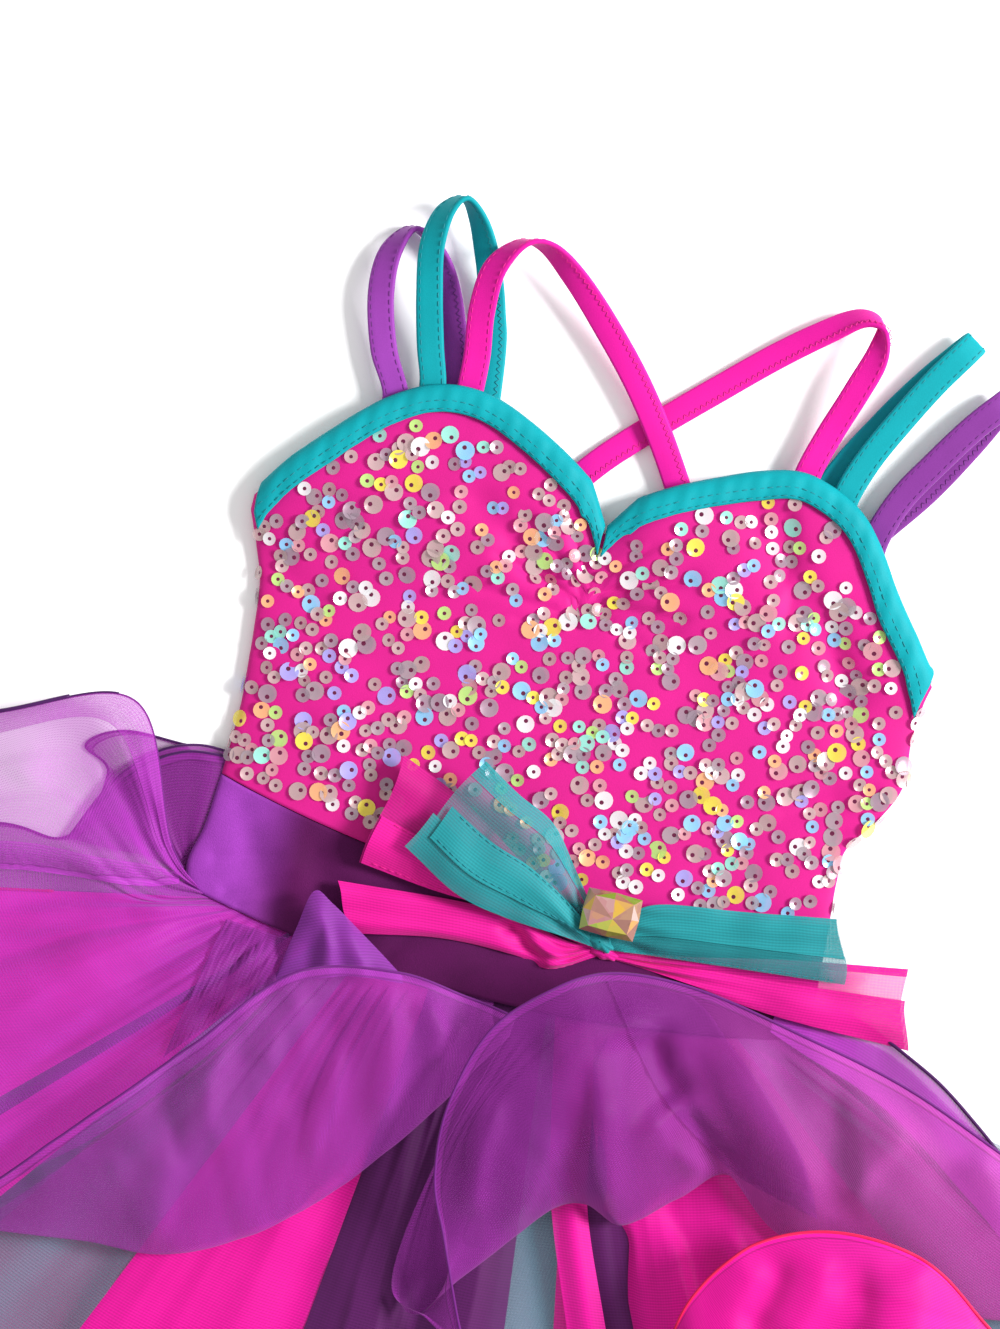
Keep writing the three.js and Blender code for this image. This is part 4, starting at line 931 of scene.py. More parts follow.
seamShape = {"middleY": -39.0, "endRise": 13.0, "half": 106.0}
basqueSize = {
    "waistHalf": 108.7, "crumple": 0.3,
    "nick": 2.2, "nickAt": 0.22, "nickTall": 0.22, "nickWide": 6,  # where its left side is drawn in
}
basqueCreases = [
    (-100, 4, -80, -26, 6, 1.4), (-70, -6, -52, -30, 6, 1.0), (-104, -14, -84, -8, 2.6, 1.3),
    (-98, -24, -78, -14, 2.4, 1.3), (-92, -29, -66, -20, 2.0, 1.1), (-62, -34, -48, -14, 2.6, 0.8),
    (-40, -36, -30, -20, 2.4, 0.6), (64, -34, 76, -14, 3.0, 0.8), (90, -30, 84, -10, 3.0, 0.8),
]


def seamY(x):
    return seamShape["middleY"] + seamShape["endRise"] * (x / basqueHalf) ** 2


def basqueGrid(u, v):
    size = basqueSize
    x = u * mix(basqueHalf, size["waistHalf"], v)
    drawn = size["nick"] * bell((v - size["nickAt"]) / size["nickTall"])
    x = x - drawn * (u < 0) * np.abs(u) ** size["nickWide"]
    y = mix(seamY(x), bodiceSize["waistDip"] * u * u - seamGap, v)
    relief = troughs(x, y, basqueCreases) + size["crumple"] * crumple(x, y, 9, 26)
    z = bodiceSize["sideZ"] + arch(u, bodiceSize["squareness"]) * (bodiceSize["crown"] - relief)
    return np.stack([x, y, z], axis=-1)


basqueU, basqueV = tableGrid(acrossBody(151), np.linspace(0, 1, 31))
basqueFront = thickSheet("basqueFront", basqueGrid(basqueU, basqueV), stretchWall, cloths["velvet"])
basqueBackGrid = basqueGrid(*tableGrid(np.linspace(-1, 1, 61), np.linspace(0, 1, 11)))
basqueBackGrid[..., 2] = stretchWall / 2
basqueBack = thickSheet("basqueBack", basqueBackGrid, stretchWall, cloths["velvet"])
for piece, nodeName in ((basqueFront, "basque_front"), (basqueBack, "basque_back")):
    keepPiece(piece, nodeName)
print("stage: basque")

layers = {
    "backNet": {"low": 0.5, "out": 0.5, "under": None},
    "backGore": {"low": 2.1, "out": 2.3, "under": None},
    "frontGore": {"low": 3.9, "out": 4.6, "under": 2.6},
    "frontNet": {"low": 5.7, "out": 8.5, "under": 0.8},
}
fan = {"firstWay": 186.0, "lastWay": 352.0, "reach": 218.0, "spread": 1.6, "ripples": 8, "ripple": 4.0}


def frontZ(x):
    return bodiceSize["sideZ"] + arch(np.clip(x / basqueHalf, -1, 1),
                                      bodiceSize["squareness"]) * bodiceSize["crown"]


def seamPoint(x, layer):
    x = np.asarray(x, float)
    z = np.full_like(x, layer["low"]) if layer["under"] is None else np.maximum(layer["low"],
        frontZ(x) - layer["under"])
    return np.stack([x, seamY(x) + 0.3, z - 0.9 if layer["under"] is not None else z], axis=-1)


def fanPoint(share, t, layer):
    across = 2 * share - 1
    halfTurn = np.where(across < 0, 270 - fan["firstWay"], fan["lastWay"] - 270)
    way = np.radians(270 + np.sign(across) * halfTurn * np.abs(across) ** fan["spread"])
    start = seamPoint(across * seamShape["half"], layer)
    settled = ease(t / 0.45)
    wave = 0.0
    if layer["under"] is not None:
        wave = fan["ripple"] * 0.5 * (1 - np.cos(2 * math.pi * fan["ripples"] * share)) * settled
    x = start[..., 0] + np.cos(way) * t * fan["reach"]
    y = start[..., 1] + np.sin(way) * t * fan["reach"]
    return np.stack([x, y, mix(start[..., 2], layer["out"], settled) + wave], axis=-1)


def pathGrid(path, ats):
    # path is (rows, columns, 3): a smooth curve down every column, read at the same places
    last = len(path) - 1
    lines = []
    for at in ats:
        i = int(min(max(math.floor(at), 0), last - 1))
        t = at - i
        b, c = path[i], path[i + 1]
        a = path[i - 1] if i > 0 else 2 * b - c
        d = path[i + 2] if i + 2 <= last else 2 * c - b
        lines.append(spline(a, b, c, d, t))
    return np.stack(lines, axis=1)


def gathers(s, t, seed, count, height):
    # pleats that start tight at the seam and open out, uneven across the layer
    drift = s * count + 1.1 * wander(s * count / 6, seed, 1.0)
    wave = np.sin(2 * math.pi * drift)
    sharp = np.sign(wave) * np.abs(wave) ** 0.8 + 0.3 * np.sin(4 * math.pi * drift + 1.0)
    uneven = 0.6 + 0.4 * wander(s * count / 3, seed + 5, 1.0)
    return height * sharp * uneven * ease(t * 14) * (0.18 + 0.82 * bell(t / 0.32))


def flutes(s, t, seed, count, height):
    # the long soft folds that run to the hem
    drift = s * count + 0.8 * wander(s * count / 3, seed, 1.0) + 0.12 * np.sin(t * 3 + seed)
    return height * (0.5 + 0.5 * np.sin(2 * math.pi * drift)) ** 1.6 * ease(t * 2.5)


def folds(x, y, rows):
    # ridges and troughs along short lines: height, width, then the line's points. One side is steeper.
    total = 0.0
    for height, width, *line in rows:
        line = np.array(line, float)
        steps = np.diff(line, axis=0)
        lengths = np.hypot(steps[:, 0], steps[:, 1])
        starts = np.concatenate([[0], np.cumsum(lengths)])
        best = np.full(np.shape(x), 1e9)
        share = np.zeros(np.shape(x))
        side = np.zeros(np.shape(x))
        for (x0, y0), (dx, dy), length, start in zip(line, steps, lengths, starts):
            along = np.clip(((x - x0) * dx + (y - y0) * dy) / length**2, 0, 1)
            offX, offY = x - x0 - along * dx, y - y0 - along * dy
            away = np.hypot(offX, offY)
            nearer = away < best
            best = np.where(nearer, away, best)
            share = np.where(nearer, (start + along * length) / starts[-1], share)
            side = np.where(nearer, np.sign(offX * dy - offY * dx), side)
        spread = width * np.where(side > 0, 2.4, 1.3)
        total = total + height * bell(best / spread) * ease(share * 4) * ease((1 - share) * 4)
    return total


leastShare = 0.31  # of the rectangle round a cut


def declareCut(grid):
    # works out the flat cut of a skirt layer or ribbon, its longest width by its length and its area, and
    # keeps none of it
    u, v = gridLengths(grid)
    width = float(u[-1].max()) * mm
    length = float(v[:, -1].max()) * mm
    corner = np.cross(np.diff(grid, axis=0)[:, :-1], np.diff(grid, axis=1)[:-1])
    area = float(np.linalg.norm(corner, axis=-1).sum()) * mm * mm
    area = min(max(area, leastShare * width * length), width * length)


def keepLayer(piece, grid, nodeName):
    keepPiece(piece, nodeName)
    declareCut(grid)


def addFlap():
    # a fold of the left front net that stands up over the basque
    s, t = tableGrid(np.linspace(0, 1, 60), np.linspace(0, 1, 40))
    low, top = alongRows(flap["low"], s[:, 0]), alongRows(flap["top"], s[:, 0])
    grid = mix(low[:, None], top[:, None], t[..., None])
    x, y = grid[..., 0].copy(), grid[..., 1].copy()
    grid[..., 2] += 2.0 * np.sin(math.pi * s) * np.sin(math.pi * t) + folds(x, y,
        flap["lines"]) + 0.4 * crumple(x, y, 8, 20)
    sheet = thinSheet("flap", grid, cloths["netFlap"])
    joinInto(bpy.data.objects["netFrontLeft"], [sheet])


def addBand(piece, net, top, low, lift, ink, start=0.5):
    # a doubled strip that lies on a net, such as its turned hem; start is where the net's upper side begins
    s, t = tableGrid(np.linspace(0, 1, 110), np.linspace(0, 1, 14))
    upper = alongRows(top, s[:, 0])
    lower = alongRows(low, s[:, 0])
    flat = mix(upper[:, None], lower[:, None], t[..., None])
    under = net[::2, int(start * net.shape[1])::2].reshape(-1, 3)
    away = (flat[..., 0].reshape(-1, 1) - under[:, 0]) ** 2 + (flat[..., 1].reshape(-1, 1) - under[:, 1]) ** 2
    near = np.argpartition(away, 4, axis=1)[:, :4]
    height = under[near, 2].max(axis=1).reshape(s.shape)
    soft = (np.roll(height, 1, axis=0) + height + np.roll(height, -1, axis=0)) / 3
    soft[0], soft[-1] = height[0], height[-1]
    grid = np.concatenate([flat, (soft + lift)[..., None]], axis=-1)
    joinInto(piece, [thinSheet("band", grid, cloths[ink])])


goreShape = {
    "pleats": 32, "gather": 1.3, "sideways": 0.7, "pleatsPerFlute": 4, "flutes": 1.2, "flute": 3.2,
    "crumple": 0.7, "wave": 40, "low": 3.6, "high": 10.4,
}


def goreGrid(start, end, layer, seed, columns, rows):
    s, t = tableGrid(np.linspace(0, 1, columns), np.linspace(0, 1, rows))
    grid = fanPoint(mix(start, end, s), t, layer)
    if layer["under"] is not None:
        shape = goreShape
        pleats = max(2, round((end - start) * shape["pleats"]))
        count = max(shape["flutes"], pleats / shape["pleatsPerFlute"])
        x, y = grid[..., 0].copy(), grid[..., 1].copy()
        grid[..., 2] += gathers(s, t, seed, pleats, shape["gather"]) + flutes(s, t, seed, count,
            shape["flute"])
        grid[..., 2] += shape["crumple"] * crumple(x, y, seed, shape["wave"]) * ease(t * 3)
        grid[..., 0] += gathers(s, t, seed + 2, pleats, shape["sideways"])
        grid[..., 2] = np.clip(grid[..., 2], shape["low"], shape["high"])
    return grid


# a gore whose side edge has a cord too: from which row down, how far up and how thick
sideCords = {"gore_front_1": {"from": 20, "lift": 1.0, "radius": 0.5}}


def makeGore(name, strips, layerName, ink, seed, hem=None, fine=True):
    # a gore in one or more strips: where it is folded back, what lies under it shows between them
    columns, rows = (80, 80) if fine else (40, 30)
    grids = [goreGrid(start, end, layers[layerName], seed, columns, rows) for start, end in strips]
    parts = [thinSheet(camel(name), grid, cloths[ink]) for grid in grids]
    if len(parts) > 1:
        joinInto(parts[0], parts[1:])
    if hem:
        for grid in grids:
            addHemCord(parts[0], grid[:, -1], 0.45, cloths[hem])
    if name in sideCords:
        cord = sideCords[name]
        edge = grids[0][0, cord["from"]:] + np.array([0, 0, cord["lift"]])
        addHemCord(parts[0], edge, cord["radius"], cloths[hem])
    widest = max(grids, key=lambda grid: gridLengths(grid)[0][-1].max())
    keepLayer(parts[0], widest, name)


# how far between its fold and its hem a net stands highest, its ripples, and its pleats' sideways share
netShape = {"highest": 0.45, "wave": 46, "sideways": 0.6}


def netGrid(rows, layerName, seed, columns, steps, pleats, folding):
    # a net layer from a table: from the seam, over a near point, round a fold, to the hem
    table = np.array(rows, float)
    s, t = tableGrid(np.linspace(0, 1, columns), np.linspace(0, 1, steps))
    seamX, nearX, nearY, nearZ, foldX, foldY, foldZ, puff, hemX, hemY, hemZ = alongRows(table, s[:, 0]).T
    near = np.stack([nearX, nearY, nearZ], axis=-1)
    fold = np.stack([foldX, foldY, foldZ], axis=-1)
    last = np.stack([hemX, hemY, hemZ], axis=-1)
    over = mix(fold, last, netShape["highest"])
    over[:, 2] += puff
    path = np.stack([seamPoint(seamX, layers[layerName]), near, fold, over, last])
    grid = pathGrid(path, t[0] * 4)
    x, y = grid[..., 0].copy(), grid[..., 1].copy()
    onTop = ease((t - folding["from"]) * 8) if folding["from"] > 0 else 1.0
    grid[..., 2] += gathers(s, t, seed, pleats, folding["gather"]) + flutes(s, t, seed, folding["flutes"],
        folding["flute"])
    grid[..., 2] += onTop * folds(x, y, folding["lines"]) + (1 - onTop) * folds(x, y, folding.get("base", []))
    grid[..., 2] += folding["crumple"] * crumple(x, y, seed, netShape["wave"]) * ease(t * 3)
    grid[..., 0] += gathers(s, t, seed + 2, pleats, folding["gather"] * netShape["sideways"])
    if "edge" in folding:
        sway = folding["edge"] * wander(s * 3, seed + 7, 1.0) * ease((t - 0.6) * 2.5)
        grid[..., 0] += sway * 0.5
        grid[..., 1] += sway
    grid[..., 2] = np.maximum(grid[..., 2], folding["floor"])
    if "base" in folding:
        kept = np.minimum(grid[..., 2], folding["baseTop"])
        grid[..., 2] = np.where(t < folding["from"], kept, grid[..., 2])
    return grid


def makeNet(name, rows, layerName, ink, seed, columns, steps, pleats, folding, hem=None, hemRadius=0.5,
            behind=()):
    grid = netGrid(rows, layerName, seed, columns, steps, pleats, folding)
    piece = thinSheet(camel(name), grid, cloths[ink])
    if hem:
        addHemCord(piece, grid[:, -1], hemRadius, cloths[hem])
    for k, (otherRows, otherFolding) in enumerate(behind):
        other = netGrid(otherRows, layerName, seed + 70 + k, 60, 46, 4, otherFolding)
        joinInto(piece, [thinSheet("turnBehind", other, cloths["netBehind"])])
        if hem:
            addHemCord(piece, other[:, -1], hemRadius, cloths[hem])
    keepLayer(piece, grid, name)
    return grid


# each row: seam x, near x y z, fold x y z, puff, hem x y z
z0 = layers["backNet"]["out"]
backNetRows = [
    (-106, -113, -12, z0, -113, 15, z0, 0, -124, 21.5, z0),
    (-106, -116, -10, z0, -122, 17, z0, 0, -146, 21, z0),
    (-105, -118, -14, z0, -134, 8, z0, 0, -158, 13, z0),
    (-104, -118, -18, z0, -134, -2, z0, 0, -148, 5, z0),
    (-102, -118, -24, z0, -138, -18, z0, 0, -157, -20, z0),
    (-98, -124, -36, z0, -158, -32, z0, 0, -196, -26, z0),
    (-90, -118, -50, z0, -170, -70, z0, 0, -300, -90, z0),
    (-76, -110, -72, z0, -160, -112, z0, 0, -262, -180, z0),
    (-38, -58, -92, z0, -90, -150, z0, 0, -130, -250, z0), (0, 0, -94, z0, 0, -154, z0, 0, 0, -262, z0),
    (38, 58, -92, z0, 90, -150, z0, 0, 130, -250, z0), (76, 110, -74, z0, 160, -116, z0, 0, 256, -184, z0),
    (98, 126, -40, z0, 180, -66, z0, 0, 300, -110, z0), (106, 138, -23, z0, 184, -46, z0, 0, 308, -78, z0),
]
turnedGoreRows = [
    (33, 62, -112, 6, 92, -176, 6, 6, 88, -142, 20), (42, 78, -118, 7, 112, -192, 7, 9, 92.5, -117.6, 26),
    (51, 96, -122, 6, 138, -196, 7, 12, 108, -96, 30),
    (60, 114, -116, 8, 168, -190, 9, 14, 134.7, -84.7, 32),
    (70, 130, -106, 7, 198, -176, 8, 14, 165, -88, 32),
    (79, 146, -94, 7, 226, -156, 8, 12, 191.8, -103.7, 28),
    (87, 154, -84, 6, 240, -136, 7, 6, 214, -118, 20),
]
leftSideRows = [
    (-106, -120, -13, 6.8, -144, 32.5, 11, 3, -250, -4, 12),
    (-104, -124, -19, 9, -156, 12, 15, 3, -252, -26, 12),
    (-100, -126, -32, 12, -162, -18, 21, 4, -262, -66, 12),
    (-95, -122, -36, 16, -160, -50, 17, 2, -262, -104, 12),
    (-87, -112, -52, 18, -148, -80, 23, 4, -246, -146, 13),
    (-76, -98, -64, 18, -132, -102, 19, 0, -214, -176, 14),
    (-64, -84, -72, 18, -116, -112, 17, 0, -166, -158, 14),
]
leafRows = [
    (-62, -88, -80, 13.5, -150, -153, 12.8, 1, -160, -151, 16),
    (-57, -86, -88, 12.5, -112, -150.6, 11.8, 6, -137, -124.3, 27),
    (-50, -76, -90, 12.5, -87, -149.8, 11.3, 9, -122.7, -108.2, 33),
    (-42, -58, -86, 12, -61, -138, 11.3, 12, -94.7, -75.9, 37),
    (-33, -42, -78, 12.5, -37.4, -117.5, 11.3, 12, -66.7, -43.7, 36),
    (-22, -24, -66, 12.5, -12.8, -86.2, 12.3, 10, -32.7, -35.2, 32),
    (-9, -8, -52, 13, 2.5, -60.7, 13.8, 5, -6.8, -37.8, 25),
    (2, 4, -46, 13.5, 9.5, -49, 15.8, 2, 11, -40.5, 20),
]
bellRows = [
    (12, -4, -96, 11, -9, -141, 12.8, 3, 24, -160, 19), (16, -1, -96, 11, 0, -146, 11.8, 3, 16, -146, 22),
    (21, 2, -92, 11, 13, -133, 11.8, 5, 6, -123, 27), (26, 6, -84, 11, 27, -117, 11.8, 8, -3, -102, 31),
    (32, 14, -76, 12, 39, -103, 11.3, 12, -5.1, -76, 36),
    (39, 30, -70, 12, 50, -99, 11.3, 15, 2.5, -46.3, 39),
    (46, 46, -68, 11.5, 64, -103, 11.3, 16, 22.5, -25.1, 38),
    (54, 60, -66, 11, 80, -90, 11.3, 15, 42, -16.6, 34),
    (63, 74, -62, 10.5, 96, -77, 11.8, 10, 70.9, -16.6, 30),
    (73, 92, -58, 11, 115, -92, 11.3, 8, 108.6, -23.4, 30),
    (84, 112, -56, 11, 146, -102, 11.3, 10, 146.8, -31.9, 29),
    (94, 132, -54, 11.5, 188, -104, 11.3, 8, 186.7, -47.2, 24),
    (103, 146, -48, 11, 226, -94, 10.8, 4, 232, -64, 16),
]
# how each layer is folded: heights in mm, and its main folds as lines (height, width, points)
flatFolding = {"from": 0, "gather": 0.0, "flutes": 1, "flute": 0.0, "crumple": 0.0, "floor": 0.0, "lines": []}
turnedFolding = {
    "baseTop": 11.0,
    "base": [(-5.0, 2.6, (58, -98), (65, -110), (70, -130), (84, -160)),
             (5.0, 3.0, (72, -98), (84, -108), (94, -128), (104, -160)),
             (4.0, 3.0, (98, -96), (106, -106), (116, -130))],
    "from": 0.55, "gather": 0.5, "flutes": 2.6, "flute": 1.6, "crumple": 1.0, "floor": 3.6, "edge": 1.5,
    "lines": [(3.5, 6, (112, -96), (106, -118), (107, -140)),
              (3.0, 5, (130, -89), (132, -106), (125, -130)), (3.5, 7, (158, -88), (166, -99), (166, -120)),
              (-2.5, 4, (142, -90), (148, -108), (144, -130)),
              (-2.0, 3, (119, -96), (117, -112), (112, -128))],
}
sideFolding = {
    "from": 0, "gather": 1.7, "flutes": 5, "flute": 1.5, "crumple": 1.2, "floor": 1.4,
    "lines": [(3.5, 4, (-101, -30), (-129, -35.6), (-172, -57)),
              (4.0, 4, (-103, -34), (-133, -54), (-165, -84)),
              (3.5, 4.5, (-103, -39), (-133, -71), (-159, -108)),
              (4.0, 5, (-95, -35), (-115, -75), (-156, -120)),
              (-3.0, 3, (-102, -32), (-140, -46), (-190, -80)),
              (-3.0, 3.5, (-98, -38), (-124, -68), (-160, -112)),
              (4.0, 3.2, (-88, -35), (-95, -60), (-102, -83)), (3.5, 3, (-83, -35), (-87, -52), (-90, -67)),
              (3.0, 2.6, (-78, -35), (-80, -44), (-80, -58)),
              (-3.0, 2.4, (-86, -36), (-91, -56), (-97, -76)),
              (5.0, 5, (-112, -22), (-140, -22.5), (-180, -26), (-220, -34)),
              (4.0, 5, (-112.5, -20), (-125, -1), (-147, 22)),
              (-3.5, 4, (-112, -22), (-138, -8), (-176, 2)), (3.0, 3.5, (-113, -22), (-150, -6), (-190, 4)),
              (-2.5, 3.5, (-110, -23), (-145, -35), (-174, -48))],
}
leafFolding = {
    "from": 0.5, "gather": 1.3, "flutes": 5, "flute": 1.0, "crumple": 0.9, "floor": 6.0, "edge": 1.2,
    "lines": [(4.0, 3.6, (-72, -50), (-83, -67), (-87, -84), (-84, -99), (-76, -110)),
              (3.0, 3.0, (-60, -47), (-68.5, -63), (-69.6, -80)),
              (3.5, 3.4, (-37, -37), (-30, -54), (-26, -75), (-26, -92)),
              (2.5, 2.6, (-23, -40), (-12.5, -52), (-11, -66)),
              (3.5, 4.5, (-101, -100), (-93, -120), (-93, -138), (-93, -151)),
              (3.0, 3.5, (-143, -134), (-123, -124), (-100, -120)),
              (-2.5, 3.0, (-99, -80), (-97, -102), (-90, -118)),
              (-2.5, 3.2, (-50, -48), (-50, -70), (-58, -96)),
              (2.0, 2.5, (-47, -60), (-44, -84), (-48, -108)),
              (-2.0, 2.6, (-78, -60), (-92, -86), (-108, -108))],
}
bellFolding = {
    "from": 0.5, "gather": 1.3, "flutes": 6, "flute": 1.0, "crumple": 1.0, "floor": 6.0, "edge": 1.2,
    "lines": [(-8.0, 5.0, (52, -30), (62, -46), (73.4, -57)),
              (-5.0, 2.6, (70, -54), (86.5, -67.5), (100, -76)),
              (5.0, 5.0, (78, -26), (100, -49), (117, -68), (131, -88)),
              (4.0, 4.0, (152, -40), (139, -60), (134, -80)),
              (3.0, 3.6, (16, -50), (34, -36), (48, -32), (62, -36)),
              (3.0, 3.4, (10.6, -62), (9, -90), (12, -114)), (2.5, 3.4, (31, -70), (29, -96), (27, -116)),
              (3.0, 4.5, (45, -52), (50, -76), (60, -101)), (3.0, 4.0, (100, -26), (129, -37), (168, -58)),
              (3.0, 4.0, (172, -46), (184, -59), (194, -74)), (-2.5, 3.0, (36, -46), (40, -72), (44, -98)),
              (-3.0, 3.6, (118, -34), (128, -56), (140, -84)), (-2.0, 3.0, (68, -62), (74, -76), (84, -86)),
              (2.5, 3.0, (60, -58), (72, -72), (92, -80))],
}

# the flap: its lower line under the left front net's hem, its upper line over the basque, and its folds
flap = {
    "low": [(-75, -53, 12.5), (-62, -46.5, 13.5), (-47, -41.5, 14), (-30, -40, 14)],
    "top": [(-73.5, -49, 12.5), (-70.5, -30, 14), (-67.6, -16.2, 15.5), (-60, -19, 15), (-44, -29, 13.5),
            (-31, -37.5, 13)],
    "lines": [(2.6, 2.2, (-67, -17), (-58, -34), (-52, -56)),
              (1.8, 2.0, (-56, -22), (-46, -36), (-40, -52)),
              (-1.5, 2.0, (-63, -20), (-62, -40), (-64, -60))],
}

# the second flounce, which stands behind the upper left one
secondFlounce = [
    [(-100, -104, -12, 1.3, -103, 12, 1.6, 0.3, -103, 22.5, 1.6),
     (-106, -116, -8, 1.4, -118, 12, 2.2, 0.4, -120, 22.5, 2.0),
     (-106, -120, -8, 1.6, -130, 8, 2.6, 0.6, -134, 16, 2.2),
     (-105, -124, -14, 1.8, -138, -6, 3.0, 0.6, -146, 2, 2.4),
     (-104, -124, -20, 1.8, -140, -20, 3.0, 0.6, -156, -20, 2.4)],
    [(-102, -107, -12, 2.1, -106, 10, 2.6, 0.3, -106, 21.5, 2.4),
     (-106, -117, -10, 2.2, -120, 8, 3.2, 0.4, -124, 19, 3.0),
     (-106, -121, -12, 2.4, -132, 2, 3.8, 0.6, -138, 9, 3.2),
     (-105, -124, -17, 2.6, -138, -12, 4.2, 0.6, -150, -8, 3.4)],
]
behindFolding = {"from": 0, "gather": 0.35, "flutes": 3, "flute": 0.8, "crumple": 0.3, "floor": 1.0,
                 "lines": []}
makeNet("net_back", backNetRows, "backNet", "netPurple", 1, 200, 60, 0.001, flatFolding,
        "darkHem", 0.45,
                    [(rows, behindFolding) for rows in secondFlounce])
# the outer ply on the right, which stands up a little past the right front net's hem
outerEdge = [(98, -14, 6), (112, -13, 6.5), (125, -14.5, 7), (134, -17.5, 9), (143.4, -21.5, 12),
             (158, -28.6, 14), (172, -38, 14.5), (187.5, -50, 14), (215, -74, 12)]
outerLow = [(98, -26, 7), (112, -31, 8), (125, -35, 9), (136, -39, 10), (148, -45, 11), (162, -54, 12),
            (175, -63, 12), (190, -74, 12), (216, -96, 10)]
edgeS, edgeT = tableGrid(np.linspace(0, 1, 120), np.linspace(0, 1, 20))
outerGrid = mix(alongRows(outerEdge, edgeS[:, 0])[:, None], alongRows(outerLow, edgeS[:, 0])[:, None],
                edgeT[..., None])
outerGrid[..., 2] += 0.6 * crumple(outerGrid[..., 0], outerGrid[..., 1], 5, 25)
joinInto(bpy.data.objects["netBack"], [thinSheet("outerPly", outerGrid, cloths["outerPly"])])
addHemCord(bpy.data.objects["netBack"], outerGrid[:, 0] + np.array([0, 0.2, 0.2]), 0.6, cloths["darkHem"])
goreRows = [
    ("gore_back_1", [(0.02, 0.21)], "backGore", "netTeal", "teal_net", None),
    ("gore_back_2", [(0.21, 0.4)], "backGore", "netPink", "pink_net", None),
    ("gore_back_3", [(0.4, 0.64)], "backGore", "netTeal", "teal_net", None),
    ("gore_back_4", [(0.64, 0.79)], "backGore", "netPink", "pink_net", None),
    ("gore_back_5", [(0.79, 0.98)], "backGore", "netTeal", "teal_net", None),
    ("gore_front_1", [(0.02, 0.155), (0.164, 0.2)], "frontGore", "netPale", "pink_net", "redHem"),
    ("gore_front_2", [(0.2, 0.277)], "frontGore", "netTeal", "teal_net", None),
    ("gore_front_3", [(0.277, 0.402)], "frontGore", "netPink", "pink_net", "redHem"),
    ("gore_front_4", [(0.402, 0.6)], "frontGore", "netDeep", "purple_net", None),
    ("gore_front_7", [(0.93, 0.985)], "frontGore", "netTeal", "teal_net", None),
]
for k, (name, strips, layerName, ink, slot, hem) in enumerate(goreRows):
    makeGore(name, strips, layerName, ink, 20 + k, hem, "front" in name)
# the narrow pink gore, and the purple cloth in the slot beside it, darkened with painted shade
narrowRows = [
    (24, 31, -72, 6, 39.1, -104.6, 7.5, 0.5, 75, -196, 7), (31, 38, -72, 8, 46, -103, 10, 0.5, 83, -195, 9),
    (38, 45, -70, 6.5, 51.3, -101.6, 7, 0.5, 90, -194, 7),
]
slotRows = [(35, 44, -72, 4, 50, -101, 4.5, 0, 88, -196, 4.5),
            (46, 62, -70, 4, 67, -100, 4.5, 0, 106, -192, 4.5)]
plainFolding = {"from": 0, "gather": 0.2, "flutes": 1.2, "flute": 0.6, "crumple": 0.4, "floor": 3.2,
                "lines": []}
makeNet("gore_front_5", narrowRows, "frontGore", "netPink", 35, 60, 120, 1, plainFolding,
        "redHem", 0.45)
slot = netGrid(slotRows, "frontGore", 36, 30, 80, 1, plainFolding)
joinInto(bpy.data.objects["goreFront4"], [thinSheet("slotCloth", slot, cloths["netDeep"])])
makeNet("gore_front_6", turnedGoreRows, "frontGore", "netPink", 41, 160, 130, 6, turnedFolding,
        "redHem", 0.55)
side = makeNet("net_front_left_side", leftSideRows, "frontNet", "netSide", 42, 230, 170, 13,
               sideFolding)
sidePiece = bpy.data.objects["netFrontLeftSide"]
turnedEdge = side[:20, 42:].copy()
turnedEdge[..., 2] += 0.5
joinInto(sidePiece, [thinSheet("edgeTurn", turnedEdge, cloths["netSide"])])
addHemCord(sidePiece, side[0, 28:120], 0.35, cloths["purpleHem"])
addHemCord(sidePiece, side[0, 91:] + np.array([0, 0.3, 0.3]), 0.4, cloths["darkHem"])
addHemCord(sidePiece, side[0, 106:] + np.array([0, 0.5, 0.3]), 0.75, cloths["darkHem"])
bandTop = [(-206, -30), (-179.5, -25.1), (-162.7, -22.5), (-142.2, -22.2), (-126.5, -21.4), (-115, -21.8)]
bandLow = [(-204, -43), (-177.0, -35.1), (-160.3, -32.2), (-140.1, -30.4), (-124.7, -28.9), (-114, -25.5)]
addBand(sidePiece, side, bandTop, bandLow, 0.8, "netSide", 0.1)
makeNet("net_front_left", leafRows, "frontNet", "netLeaf", 43, 220, 170, 10, leafFolding,
        "purpleHem", 0.45)
addFlap()
# the purple net that is gathered between the side net and the flap
gatheredTop = [(-95, -33.5), (-86, -34.2), (-78, -34.8), (-70, -35)]
gatheredLow = [(-104, -84), (-94, -72), (-82, -60), (-70, -52)]
addBand(bpy.data.objects["netFrontLeft"], side, gatheredTop, gatheredLow, 1.2, "gatheredNet", 0.0)
bellGrid = makeNet("net_front_right", bellRows, "frontNet", "netPuff", 44, 260, 170, 12,
                   bellFolding, "purpleHem", 0.5)
# an extra ply of net beyond the right puff's fold line: painted shade on the fold's far side
foldEdge = [(37, -20), (44, -29), (51.3, -38.5), (63.5, -52.6), (76, -62.5), (89.8, -71.9), (98.9, -76.8)]
foldFar = [(66, -18.5), (74, -23), (83, -31), (98.6, -43.9), (114.1, -60.1), (122, -72), (127.6, -83)]
addBand(bpy.data.objects["netFrontRight"], bellGrid, foldEdge, foldFar, 0.5, "netPly")
print("stage: skirt")

# the sharper folds of the pink loops: height, width, then the line's points
bowFolds = [(-3.2, 1.6, (-3, -9), (6, -15), (17.5, -23.5)), (2.0, 1.6, (2, -8), (13, -15), (24, -21)),
            (-2.4, 1.5, (-12, 24), (-18, 12), (-25, -2)), (1.8, 2.0, (-26, 30), (-32, 12), (-40, -2))]
